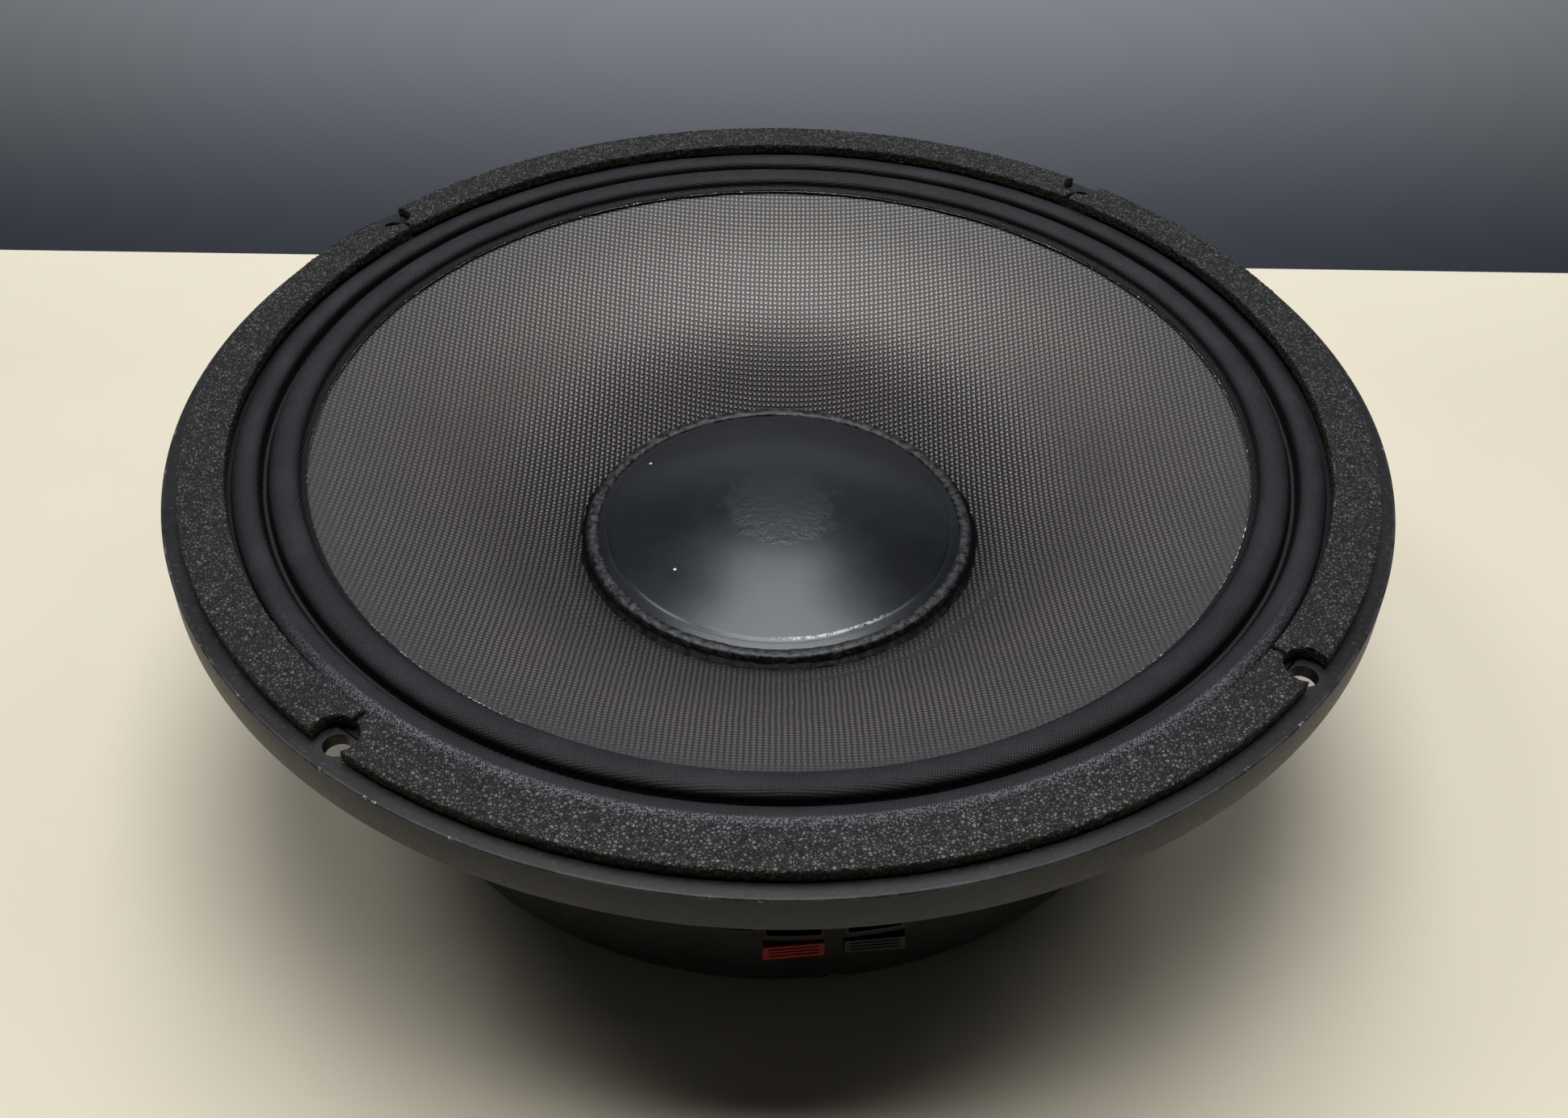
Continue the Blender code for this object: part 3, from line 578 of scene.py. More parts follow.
def inset(outline, depth):
    """Move each point of a closed outline inwards by depth."""
    points = np.asarray(outline, float)
    before = points - np.roll(points, 1, 0)
    after = np.roll(points, -1, 0) - points
    before /= np.linalg.norm(before, axis=1)[:, None]
    after /= np.linalg.norm(after, axis=1)[:, None]
    x, y = points.T
    way = np.sign(np.sum(x * np.roll(y, -1) - y * np.roll(x, -1)))
    normal = np.stack([-(before + after)[:, 1], (before + after)[:, 0]], -1) * way
    normal /= np.linalg.norm(normal, axis=1)[:, None]
    lean = np.abs(normal[:, 0] * -before[:, 1] * way + normal[:, 1] * before[:, 0] * way)
    return points + normal * (depth / np.maximum(lean, 0.4))[:, None]


AXES = {"X": (2, 0, 1), "Y": (0, 2, 1), "Z": (0, 1, 2)}


def pillow(name, outline, low, high, along="Z", edge=0.3 * MM):
    """Extrude a flat outline along an axis, with its two end edges rounded."""
    turn = [math.pi / 6 * k for k in range(4)]
    rows = [(low + edge * (1 - math.sin(t)), edge * (1 - math.cos(t))) for t in reversed(turn)]
    rows += [(high - edge * (1 - math.sin(t)), edge * (1 - math.cos(t))) for t in turn]
    loops = []
    for level, depth in rows:
        flat = inset(outline, depth) if depth > 1e-9 else np.asarray(outline, float)
        loops.append(np.column_stack([flat, np.full(len(flat), level)])[:, AXES[along]])
    return loft(name, loops)


def rectangle(u_low, u_high, v_low, v_high):
    return [(u_low, v_low), (u_high, v_low), (u_high, v_high), (u_low, v_high)]


def in_mm(outline):
    return [tuple(value * MM for value in point) for point in outline]


def disc(center, radius, sides, phase=0.0):
    turn = [phase + 2 * math.pi * i / sides for i in range(sides)]
    return [(center[0] + radius * math.cos(a), center[1] + radius * math.sin(a)) for a in turn]


def polar(radius, angle):
    return radius * math.cos(angle), radius * math.sin(angle)


def carve(target, *tools, operation="DIFFERENCE"):
    """Boolean the tools, in one body, into target."""
    if len(tools) > 1:
        with bpy.context.temp_override(active_object=tools[0], selected_editable_objects=list(tools)):
            bpy.ops.object.join()
    change = target.modifiers.new("carve", "BOOLEAN")
    change.operation = operation
    change.object = tools[0]
    change.solver = "EXACT"
    settle(target)
    bpy.data.objects.remove(tools[0])


def settle(target, sharp=SHARP):
    """Apply target's modifiers."""
    depsgraph = bpy.context.evaluated_depsgraph_get()
    old = target.data
    made = bpy.data.meshes.new_from_object(target.evaluated_get(depsgraph))
    target.modifiers.clear()
    target.data = made
    made.name = target.name
    bpy.data.meshes.remove(old)
    made.shade_smooth()
    made.set_sharp_from_angle(angle=math.radians(sharp))


def rough(points, size, seed=0.0):
    """Noise from -1 to 1 at each point, with features of about size metres."""
    shift = Vector((seed, seed * 1.7, seed * 0.6))
    return np.array([noise.noise(Vector(p) / size + shift) for p in points])


def ripple(r, a, z, size, seed):
    """rough() at each point of a turned grid, given by radius, angle and height."""
    points = np.stack([np.cos(a) * r, np.sin(a) * r, z + 0 * r], -1)
    return rough(points.reshape(-1, 3), size, seed).reshape(r.shape)


def coat(thing, finish):
    thing.data.materials.clear()
    thing.data.materials.append(FINISHES[finish])


def fit(thing, body, slot, *nodes):
    """A finished piece: what it rides on, its material and slot, and the CAD nodes it stands for."""
    coat(thing, slot)
    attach(thing, body)
    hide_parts(*nodes)


def stretch_between(thing, slot, weights, *nodes):
    """A cloth ring or a lead that joins frame and cone; weights (0 on the frame, 1 on the cone) is not used.
    """
    coat(thing, slot)
    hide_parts(*nodes)
    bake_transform(thing)


def eased(value, low, high):
    t = np.clip((value - low) / (high - low), 0, 1)
    return t * t * (3 - 2 * t)


def coordinates(thing):
    co = np.empty(len(thing.data.vertices) * 3)
    thing.data.vertices.foreach_get("co", co)
    return co.reshape(-1, 3)


# ---- basket --------------------------------------------------------------------------------
def bowed(half_width, radius, back_y, steps=16):
    """Straight-sided outline towards -Y whose front is an arc about the axis."""
    half = math.asin(half_width / radius)
    front = [polar(radius, -math.pi / 2 - half + 2 * half * i / steps) for i in range(steps + 1)]
    return front + [(half_width, back_y), (-half_width, back_y)]


def leg(number, angle):
    """One arm of the casting: a channel section that flares into the rim and the base."""
    path = in_mm([(113.4, 45.2), (114.8, 47.2), (120.0, 54.0), (125.2, 60.8), (131.0, 70.2),
                  (136.3, 80.5), (138.8, 89.0), (140.1, 95.2)])
    path = smooth_route([(r / MM, 0, z / MM) for r, z in path], 5)
    window = (47.6 * MM, 87.4 * MM)
    flare_r = 7 * MM
    thickness = 3.7 * MM
    rib = 2.4 * MM
    outward = Vector((math.cos(angle), math.sin(angle), 0))
    sideways = Vector((-math.sin(angle), math.cos(angle), 0))
    loops = []
    for i, here in enumerate(path):
        along = (path[min(i + 1, len(path) - 1)] - path[max(i - 1, 0)]).normalized()
        face = Vector((along.z, 0, -along.x))
        half = here.x * math.tan(LEG_HALF_ANGLE)
        for edge in window:
            near = min(max(abs(here.z - edge) / flare_r, 0.0), 1.0)
            inside = window[0] < here.z < window[1]
            half += flare_r * (1 - math.sqrt(1 - (1 - near) ** 2)) if inside else 0
        if not window[0] < here.z < window[1]:
            half += flare_r
        margin = min(here.z - window[0], window[1] - here.z)
        sink = 0.3 * MM + 1.2 * MM * float(eased(margin, 3 * MM, 10 * MM))
        floor = thickness / 2 - sink
        section = [(-half, -thickness / 2), (half, -thickness / 2), (half, thickness / 2),
                   (half - rib, thickness / 2), (half - rib - MM, floor),
                   (-half + rib + MM, floor), (-half + rib, thickness / 2), (-half, thickness / 2)]
        loop = []
        for across, out in soften(section, 0.6 * MM, 3):
            reach = here.x + face.x * out
            place = outward * reach + sideways * across + Vector((0, 0, here.z + face.z * out))
            loop.append(place)
        loops.append(loop)
    return loft(f"leg_{number}", loops)


def basket():
    """Cast frame: rim with its side band, six channel legs, spider ledge, motor seat, terminal housing."""
    rim = soften(in_mm([
        (157.5, 101.0, 0.45), (157.5, 91.4, 0.4), (154.3, 91.4, 0.4), (154.3, 97.8, 1.2),
        (145.0, 97.8, 1.6), (142.0, 94.0, 2.0), (140.2, 87.3, 0.7), (136.4, 87.3, 0.7),
        (138.0, 93.0, 2.0), (138.0, 99.4, 0.3), (146.8, 99.4, 0.2), (146.8, 101.0, 0.3)]), 0)
    base = soften(in_mm([
        (117.3, 47.6, 0.7), (116.5, 46.5, 1.0), (112.0, 39.6, 0.8), (62.0, 39.6, 0.5),
        (62.0, 42.4, 0.8), (83.0, 42.4, 1.6), (85.0, 49.3, 0.6), (92.0, 49.3, 0.6),
        (94.0, 43.6, 1.6), (109.0, 43.6, 2.0), (112.7, 47.6, 0.7)]), 0)
    made = turned("basket_frame", rim)
    base = turned("basket_base", base)
    legs = [leg(i + 1, -math.pi / 2 + 2 * math.pi / LEG_COUNT * i) for i in range(LEG_COUNT)]
    carve(made, *legs, operation="UNION")
    carve(made, base, operation="UNION")

    loops = []
    for level, depth in in_mm(((41.5, 1.2), (41.7, 0.5), (42.7, 0), (63.0, 0), (63.95, 0.5), (64.2, 1.2))):
        outline = soften(bowed(19 * MM - depth, 124 * MM - depth, -105 * MM), 1.2 * MM, 3)
        loops.append([(x, y, level) for x, y in outline])
    carve(made, loft("housing", loops), operation="UNION")
    for name, back_y, low, high, edge in (("pocket", -98, 43.9, 61.6, 0.6), ("mouth", -112.8, 38, 45, 0.1)):
        outline = bowed(16.2 * MM, 121.4 * MM, back_y * MM)
        carve(made, pillow(name, outline, low * MM, high * MM, edge=edge * MM))
    windows = []
    for x in (-POLE_X, POLE_X):
        outline = soften(rectangle(x - 6.5 * MM, x + 6.5 * MM, 44.2 * MM, 56 * MM), 0.8 * MM)
        windows.append(pillow("wire_window", outline, -130 * MM, -118 * MM, along="Y"))
    carve(made, *windows)
    holes = [pillow("bolt_hole", disc(polar(BOLT_PCD_R, math.radians(a)), BOLT_HOLE_R, 40),
                    95 * MM, 103 * MM) for a in BOLT_ANGLES]
    holes += [pillow("screw_hole", disc(polar(SCREW_RING_R, screw_angle(i)), 2.7 * MM, 24),
                     38 * MM, 45 * MM) for i in range(LEG_COUNT)]
    carve(made, *holes)
    fit(made, FIXED, "frame_paint", "basket")


# ---- gasket --------------------------------------------------------------------------------
def gasket_segment(number):
    """A quarter of the cork ring, its faces broken into granules and pits."""
    start = math.radians(BOLT_ANGLES[number - 1])
    inner = np.linspace(GASKET_IN_R, BOLT_PCD_R - GASKET_NOTCH_R, 8)
    last = math.acos(-(GASKET_OUT_R - BOLT_PCD_R) / GASKET_NOTCH_R)
    outer = BOLT_PCD_R - GASKET_NOTCH_R * np.cos(np.linspace(0, last, 19)[1:])
    radii = np.concatenate([inner, outer])
    cosine = (radii ** 2 + BOLT_PCD_R ** 2 - GASKET_NOTCH_R ** 2) / (2 * radii * BOLT_PCD_R)
    trim = np.maximum(np.arccos(np.clip(cosine, -1, 1)), GASKET_SLIT)
    trim[:len(inner)] = GASKET_SLIT
    levels = np.linspace(GASKET_LOW_Z, GASKET_HIGH_Z, 7)
    ends = (len(radii) - 1, 429, len(levels) - 1)

    index, points = {}, []
    for key in product(*(range(end + 1) for end in ends)):
        ways = [(at == end) - (at == 0) for at, end in zip(key, ends)]
        if not any(ways):
            continue
        i, j, k = key
        angle = start + trim[i] + j / ends[1] * (math.pi / 2 - 2 * trim[i])
        out = Vector((math.cos(angle), math.sin(angle), 0))
        normal = out * ways[0] + Vector((-out.y, out.x, 0)) * ways[1] + Vector((0, 0, ways[2]))
        place = out * radii[i] + Vector((0, 0, levels[k]))
        near, _ = noise.voronoi(place / (1.5 * MM) + Vector((0, 0, number)))
        crevice = 1 - min((near[1] - near[0]) / 0.22, 1.0)
        pit = min(max(noise.noise(place / (1.1 * MM)) - 0.22, 0.0), 0.4)
        wave = noise.noise(place / (9 * MM)) + 1
        depth = 0.16 * crevice + 0.55 * pit + 0.10 * wave + 0.10 * near[0]
        if normal.length > 1.1:
            depth += 0.30 + 0.25 * noise.noise(place / (2.4 * MM))
        index[key] = len(points)
        points.append(place - normal.normalized() * depth * MM)

    faces = []
    for fixed, (u, v) in enumerate(((1, 2), (0, 2), (0, 1))):
        for end, a, b in product((0, ends[fixed]), range(ends[u]), range(ends[v])):
            cell = []
            for da, db in ((0, 0), (1, 0), (1, 1), (0, 1)):
                key = [0, 0, 0]
                key[fixed], key[u], key[v] = end, a + da, b + db
                cell.append(index[tuple(key)])
            faces.append(cell)
    made = solid(f"cork_gasket_{number}", points, faces, sharp=60)
    fit(made, FIXED, "cork_gasket", f"gasket_segment_{number}")


# ---- motor ---------------------------------------------------------------------------------
def screw_angle(index):
    return -math.pi / 2 + 2 * math.pi / LEG_COUNT * (index + 0.5)


def ring_profile(node, r_low, chamfer):
    low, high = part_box(node)
    r_high = high.x
    return soften([(r_low, low.z, 0.4 * MM), (r_high - chamfer, low.z, 0.5 * MM),
                   (r_high, low.z + chamfer, 0.5 * MM), (r_high, high.z - chamfer, 0.5 * MM),
                   (r_high - chamfer, high.z, 0.5 * MM), (r_low, high.z, 0.4 * MM)], 0)


def motor():
    """Back plate with its vent, pole piece, magnet and top plate."""
    low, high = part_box("back_plate")
    back = in_mm([(14.0, 0, 1.0), (31.0, 0, 0.3), (32.0, 0.6, 0.3), (36.0, 0.6, 0.3), (37.0, 0, 0.3)])
    back += [(BACK_PLATE_R - 3 * MM, low.z, 1.2 * MM), (BACK_PLATE_R, low.z + 3 * MM, 1.2 * MM),
             (BACK_PLATE_R, high.z - 0.8 * MM, 0.4 * MM), (BACK_PLATE_R - 0.8 * MM, high.z, 0.3 * MM),
             (VENT_R, high.z, 0.3 * MM)]
    fit(turned("rear_plate", soften(back, 0)), FIXED, "black_steel", "back_plate")
    pole = turned("pole", ring_profile("pole_piece", VENT_R, 0.8 * MM), 128)
    fit(pole, FIXED, "black_steel", "pole_piece")

    def chipped(r, a, z):
        dent = np.maximum(ripple(r, a, z, 5 * MM, 3.0) - 0.42, 0)
        near_edge = (z < magnet_low.z + 2.2 * MM) | (z > magnet_high.z - 2.2 * MM)
        return r - dent * near_edge * (r > 0.1) * 3 * MM, z
    magnet_low, magnet_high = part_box("magnet")
    magnet = turned("magnet_ring", ring_profile("magnet", 62 * MM, 1.3 * MM), shape=chipped)
    fit(magnet, FIXED, "ferrite", "magnet")
    plate = turned("front_plate", ring_profile("top_plate", 53.2 * MM, 0.8 * MM))
    fit(plate, FIXED, "black_steel", "top_plate")


def vent_screen():
    """Woven wire disc in the vent, held by a flat ring."""
    low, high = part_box("vent_screen")
    reach = high.x
    middle = (low.z + high.z) / 2
    pitch = 1.3 * MM
    wire_r = 0.17 * MM
    count = int(reach / pitch)
    made = turned("vent_mesh", soften(rectangle(reach - 1.3 * MM, reach, low.z, high.z), 0.15 * MM), 96)
    pieces = [made]
    for across, n in product((0, 1), range(-count, count + 1)):
        offset = n * pitch
        half = math.sqrt(max((reach - 0.5 * MM) ** 2 - offset ** 2, 0))
        if half < 2 * MM:
            continue
        loops = []
        stations = max(int(2 * half / (0.32 * MM)), 6)
        for i in range(stations + 1):
            s = -half + 2 * half * i / stations
            lift = 0.14 * MM * math.cos(math.pi * (s / pitch + n + across))
            ring = [(s, y, middle + lift + z) for y, z in disc((offset, 0), wire_r, 6)]
            loops.append([(y, x, z) for x, y, z in ring] if across else ring)
        pieces.append(loft(f"wire_{across}_{n}", loops))
    with bpy.context.temp_override(active_object=made, selected_editable_objects=pieces):
        bpy.ops.object.join()
    fit(made, FIXED, "vent_mesh", "vent_screen")


def frame_screws():
    """Socket-head screws with knurled heads, on one shared mesh."""
    low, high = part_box("frame_screw_1")
    seat = high.z - 4.6 * MM
    head_r = 4.2 * MM
    profile = soften([(0, low.z, 0), (2.4 * MM, low.z, 0.3 * MM), (2.4 * MM, seat, 0),
                      (head_r, seat, 0.2 * MM), (head_r, high.z, 0.5 * MM), (0, high.z, 0)], 0)
    profile = [(max(r, 0.0), z) for r, z in profile]

    def knurl(r, a, z):
        on_head = (r > 4.0 * MM) & (z > seat + 0.4 * MM) & (z < high.z - 0.6 * MM)
        return r - on_head * 0.12 * MM * (1 + np.sign(np.sin(a * 32))) / 2, z + 0 * a
    first = turned("screw_shape", profile, 128, shape=knurl, sharp=30)
    carve(first, pillow("socket", disc((0, 0), 2.5 * MM, 6), seat + 2 * MM, high.z + MM, edge=0.1 * MM))
    for i in range(LEG_COUNT):
        made = placed(f"housing_screw_{i + 1}", first.data)
        made.location = (*polar(SCREW_RING_R, screw_angle(i)), 0)
        made.rotation_euler.z = 1.3 * i
        fit(made, FIXED, "screw_steel", f"frame_screw_{i + 1}")
    bpy.data.objects.remove(first)


# ---- moving assembly -----------------------------------------------------------------------
def cone_height(radius):
    """Front surface of the cone, steeper at the neck."""
    t = (radius - CONE_NECK[0]) / (CONE_EDGE[0] - CONE_NECK[0])
    return CONE_NECK[1] + (CONE_EDGE[1] - CONE_NECK[1]) * (t + CONE_BOW * t * (1 - t))


def ribbon(line, thickness):
    """Closed outline of a sheet along its centre line."""
    line = np.asarray(line, float)
    along = np.gradient(line, axis=0)
    along /= np.linalg.norm(along, axis=1)[:, None]
    side = np.stack([-along[:, 1], along[:, 0]], -1) * thickness / 2
    return np.vstack([line + side, (line - side)[::-1]])


def sheet(radii, height, thickness):
    """Closed outline of a turned sheet, from the height of its front face."""
    front = np.stack([radii, height(radii)], -1)
    return np.vstack([front, front[::-1] - (0, thickness)])


def cone():
    def hand_made(r, a, z):
        return r + 0 * a, z + ripple(r, a, z, 30 * MM, 1.0) * 0.12 * MM
    outline = sheet(np.linspace(CONE_NECK[0], CONE_EDGE[0], 60), cone_height, CONE_T)
    fit(turned("cone_shell", outline, shape=hand_made), MOVING, "cone_cloth", "cone")


def dust_cap():
    """Shallow dome with a rolled groove and a flat lip at its foot."""
    lip_r = CAP_R - 4.0 * MM
    radii = np.concatenate([np.linspace(0, CAP_R - 7 * MM, 34), np.linspace(CAP_R - 6.7 * MM, CAP_R, 30)])

    def height(r):
        dome = CAP_RIM_Z + CAP_RISE * (1 - (r / CAP_R) ** 2)
        trough = np.exp(-((r - lip_r) / (0.4 * MM)) ** 2)
        return dome - eased(r, lip_r - 1.2 * MM, lip_r) * 0.08 * MM - trough * 0.10 * MM

    def dented(r, a, z):
        return r + 0 * a, z + ripple(r, a, z, 22 * MM, 5.0) * 0.10 * MM
    made = turned("cap_dome", sheet(radii, height, CLOTH_T), 192, shape=dented)
    fit(made, MOVING, "cap_coating", "dust_cap")


def cap_glue_bead():
    """Hand-run bead of glue round the cap: a mottled ridge that spreads onto the cone in a thin skirt."""
    ridge = (51.5 * MM, 1.65 * MM, 0.80 * MM)                # its middle, half width and height
    outline = [(52.2 * MM, CONE_NECK[1] + 0.8 * MM), (51.7 * MM, CAP_RIM_Z - 0.5 * MM)]
    for k in range(11):
        t = math.pi * (1 - k / 10)
        outline.append((ridge[0] + ridge[1] * math.cos(t), CAP_RIM_Z + 0.2 * MM + ridge[2] * math.sin(t)))
    for r, lift in in_mm(((53.5, 2.1), (54.0, 1.5), (54.5, 1.0), (55.0, 0.6), (55.6, 0.1))):
        outline.append((r, cone_height(r) + lift))

    def lumpy(r, a, z):
        coarse = ripple(r, a, z, 9 * MM, 2.0)
        fine = ripple(r, a, z, 2.2 * MM, 7.0)
        outside = eased(r, 53.6 * MM, 55.4 * MM)
        pull = outside * 0.5 * (1 + np.sin(a))                # the skirt is narrower at the far side
        z = z - 0.65 * pull * MM
        return r + (outside * (coarse + 0.3 * fine) - pull) * MM, z + (0.16 * coarse + 0.30 * fine) * MM
    made = turned("cap_glue", outline, 420, shape=lumpy, sharp=75)
    fit(made, MOVING, "black_glue", "cap_glue_bead")


def voice_coil():
    low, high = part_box("coil_former")
    tube = soften(rectangle(50.6 * MM, COIL_OUT_R, low.z, high.z), 0.1 * MM, 2)
    fit(turned("coil_tube", tube, 160), MOVING, "coil_former", "coil_former")
    low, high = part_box("coil_winding")
    turns = 32
    steps = 5
    wire_r = 0.2 * MM
    pitch = (high.z - low.z) / turns
    outline = [(WINDING_R[0], low.z)]
    for i, k in product(range(turns), range(steps)):
        t = math.pi * (k + 0.5) / steps
        outline.append((WINDING_R[1] - wire_r + wire_r * math.sin(t),
                        low.z + pitch * (i + 0.5) - pitch / 2 * math.cos(t)))
    outline.append((WINDING_R[0], high.z))
    fit(turned("coil_wire", outline, 128), MOVING, "copper_winding", "coil_winding")


def surround():
    """Doped cloth edge: two rolls, a sharp valley with a raised crease, and lands that are glued down."""
    line = [(RECESS_R - 0.5 * MM, ROLL_BASE_Z), (144.5 * MM, ROLL_BASE_Z), (142.5 * MM, ROLL_BASE_Z),
            (141.3 * MM, ROLL_BASE_Z + 0.05 * MM)]
    steps = 22
    for crest, half, rise in ROLLS:
        for i in range(steps + 1):
            t = math.pi * i / steps
            line.append((crest + half * math.cos(t), ROLL_BASE_Z + rise * math.sin(t) ** 0.85))
        if crest == ROLLS[0][0]:
            middle, depth = VALLEY
            for across, share in ((0.6, 0.8), (0.35, 1), (0.1, 0.45), (-0.1, 0.45), (-0.35, 1), (-0.6, 0.8)):
                line.append((middle + across * MM, ROLL_BASE_Z - share * depth))
    for past, lift in in_mm(((0.9, 0.95), (0.4, 0.85), (0, 0.75))):
        line.append((SEAM_R + past, cone_height(SEAM_R + past) + lift))
    line = [p for i, p in enumerate(line) if i == 0 or math.dist(p, line[i - 1]) > 0.02 * MM]

    def puckered(r, a, z):
        soft = ripple(r, a, z, 11 * MM, 4.0)
        fine = ripple(r, a, z, 2.0 * MM, 9.0)
        return r + 0.10 * soft * MM, z + (0.10 * soft + 0.035 * fine) * MM
    made = turned("cloth_surround", ribbon(line, CLOTH_T), 512, shape=puckered, sharp=75)
    radius = np.hypot(*coordinates(made).T[:2])
    stretch_between(made, "surround_cloth", 1 - eased(radius, 124.5 * MM, 140.4 * MM), "surround")


def edge_glue():
    """Thin line of dried cement where the surround is stuck to the cone, with painted glints."""
    middle_r = SEAM_R - 0.25 * MM
    middle_z = cone_height(middle_r) + 0.85 * MM
    outline = [(middle_r + 0.42 * MM * x, middle_z + 0.34 * MM * z) for x, z in disc((0, 0), 1, 10)]

    def broken(r, a, z):
        fine = ripple(r, a, z, 1.3 * MM, 11.0)
        coarse = ripple(r, a, z, 14 * MM, 12.0)
        size = np.clip(0.55 + 0.5 * fine + 0.5 * coarse, 0.12, 1.2)
        return middle_r + (r - middle_r) * size, middle_z - 0.1 * MM + (z - middle_z) * size
    made = turned("edge_cement", outline, 720, shape=broken, sharp=80)
    coat(made, "clear_glue")
    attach(made, MOVING)


def spider():
    """Corrugated centring cloth with smooth waves and a collar on the coil tube."""
    inner, flat_r, outer = SPIDER_R
    line = [(outer, SPIDER_Z), (87.5 * MM, SPIDER_Z), (85.0 * MM, SPIDER_Z)]
    steps = 96
    for i in range(steps + 1):
        s = i / steps
        rise = math.sin(2 * math.pi * SPIDER_WAVES * s)
        line.append((flat_r + (inner - flat_r) * s, SPIDER_Z + SPIDER_AMPLITUDE * rise))
    collar = COIL_OUT_R + 0.3 * MM + CLOTH_T / 2
    for past, lift in in_mm(((0.5, 0.15), (0.1, 0.7), (0, 1.6), (0, 2.8))):
        line.append((collar + past, SPIDER_Z + lift))
    made = turned("spider_ring", ribbon(line, CLOTH_T), 200, sharp=70)
    radius = np.hypot(*coordinates(made).T[:2])
    stretch_between(made, "spider_cloth", 1 - eased(radius, inner, flat_r), "spider")


# ---- terminal ------------------------------------------------------------------------------
def lever_bore(x_low, x_high):
    return pillow("bore", disc(LEVER_PIVOT, LEVER_BORE_R, 24), x_low, x_high, along="X")


def terminal_block():
    """Moulded block with a funnelled slot for each wire and three lugs for the lever pin."""
    low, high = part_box("terminal_block")
    outline = soften(rectangle(low.x, high.x, 48 * MM, high.z), 0.6 * MM)
    made = pillow("terminal_body", outline, low.y, high.y, along="Y", edge=0.5 * MM)
    outline = soften(in_mm([(-118.2, 49.0, 0.2), (-118.2, 44.2, 1.6), (-115.9, 42.4, 2.0),
                            (-113.6, 44.2, 1.6), (-113.6, 49.0, 0.2)]), 0)
    lugs = [pillow("lug", outline, a, b, along="X", edge=0.2 * MM)
            for a, b in in_mm(((-15.9, -14.6), (-3.4, 3.4), (14.6, 15.9)))]
    carve(made, *lugs, operation="UNION")
    carve(made, lever_bore(-17 * MM, 17 * MM))
    slots = []
    for x in (-POLE_X, POLE_X):
        loops = []
        for y, grow in ((low.y - MM, 1.1 * MM), (low.y, 1.0 * MM), (low.y + 1.6 * MM, 0.0), (-111 * MM, 0.0)):
            half = 3 * MM + grow
            hole = soften(rectangle(x - half, x + half, 50.2 * MM - grow, 54 * MM + grow), 0.5 * MM)
            loops.append([(u, y, v) for u, v in hole])
        slots.append(loft("slot", loops))
    carve(made, *slots)
    fit(made, FIXED, "black_plastic", "terminal_block")


def terminal_lever(name, side, finish, body, node):
    """Push lever: a rounded neck on the pin, and a ribbed tab below the housing."""
    neck_x = sorted((side * 3.7 * MM, side * 14.3 * MM))
    tab_x = (side * POLE_X - 7.3 * MM, side * POLE_X + 7.3 * MM)
    neck = soften(in_mm([(-113.9, 44.2, 0.8), (-114.4, 46.6, 0.8), (-117.2, 46.8, 0.8), (-118.2, 45.0, 0.6),
                         (-120.3, 41.1, 0.5), (-122.4, 40.9, 0.2), (-122.4, 38.0, 0.2), (-119.6, 38.4, 0.8),
                         (-115.0, 42.6, 1.2)]), 0)
    tab = soften(in_mm([(-120.6, 41.1, 0.45), (-123.9, 40.9, 0.45), (-124.2, 36.6, 0.45), (-123.6, 35.9, 0.3),
                        (-122.2, 35.9, 0.3), (-120.6, 38.6, 0.45)]), 0)
    made = pillow(name, neck, *neck_x, along="X", edge=0.35 * MM)
    carve(made, pillow("tab", tab, *tab_x, along="X"), operation="UNION")
    carve(made, lever_bore(neck_x[0] - MM, neck_x[1] + MM))
    grips = []
    for n in range(3):
        z = (37.5 + 1.1 * n) * MM
        groove = soften(rectangle(tab_x[0] + 1.4 * MM, tab_x[1] - 1.4 * MM, z, z + 0.45 * MM), 0.15 * MM, 2)
        grips.append(pillow("grip", groove, -125 * MM, (-123.75 + 0.02 * n) * MM, along="Y", edge=0.1 * MM))
    carve(made, *grips)
    fit(made, body, finish, node)


def smooth_route(points, per_span):
    """Points along a Catmull-Rom curve through the route's own points."""
    route = [Vector(p) * MM for p in points]
    route = [2 * route[0] - route[1]] + route + [2 * route[-1] - route[-2]]
    found = []
    for a, b, c, d in zip(route, route[1:], route[2:], route[3:]):
        for i in range(per_span):
            t = i / per_span
            found.append(0.5 * (2 * b + (c - a) * t + (2 * a - 5 * b + 4 * c - d) * t ** 2
                                + (3 * b - a - 3 * c + d) * t ** 3))
    return found + [route[-2]]


def tinsel_lead(pole, side):
    """Braided lead: a round tube whose strands cross as raised diamonds."""
    path = smooth_route([(side * x, y, z) for x, y, z in LEAD_ROUTE], 26)
    loops = []
    run = 0.0
    for i, here in enumerate(path):
        ahead = path[min(i + 1, len(path) - 1)]
        behind = path[max(i - 1, 0)]
        along = (ahead - behind).normalized()
        sideways = along.cross(Vector((0, 0, 1))).normalized()
        up = sideways.cross(along)
        run += (here - behind).length
        ring = []
        for k in range(32):
            t = 2 * math.pi * k / 32
            strand = math.sin(4 * t + run / (0.42 * MM)) * math.sin(4 * t - run / (0.42 * MM))
            reach = LEAD_R * (0.93 + 0.09 * strand)
            ring.append(here + sideways * reach * math.cos(t) + up * reach * math.sin(t))
        loops.append(ring)
    made = loft(f"braided_lead_{pole}", loops, sharp=70)
    y = coordinates(made)[:, 1]
    stretch_between(made, "tinsel_braid", eased(y, -97.5 * MM, -64.5 * MM), f"tinsel_lead_{pole}")


def carried_over():
    """CAD nodes whose shape is right: they get their finish."""
    coat(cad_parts["lever_pin"], "screw_steel")
    for kind, pole in product(("contact_spring", "solder_tag", "lead_pad"), ("positive", "negative")):
        coat(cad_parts[f"{kind}_{pole}"], "brass")


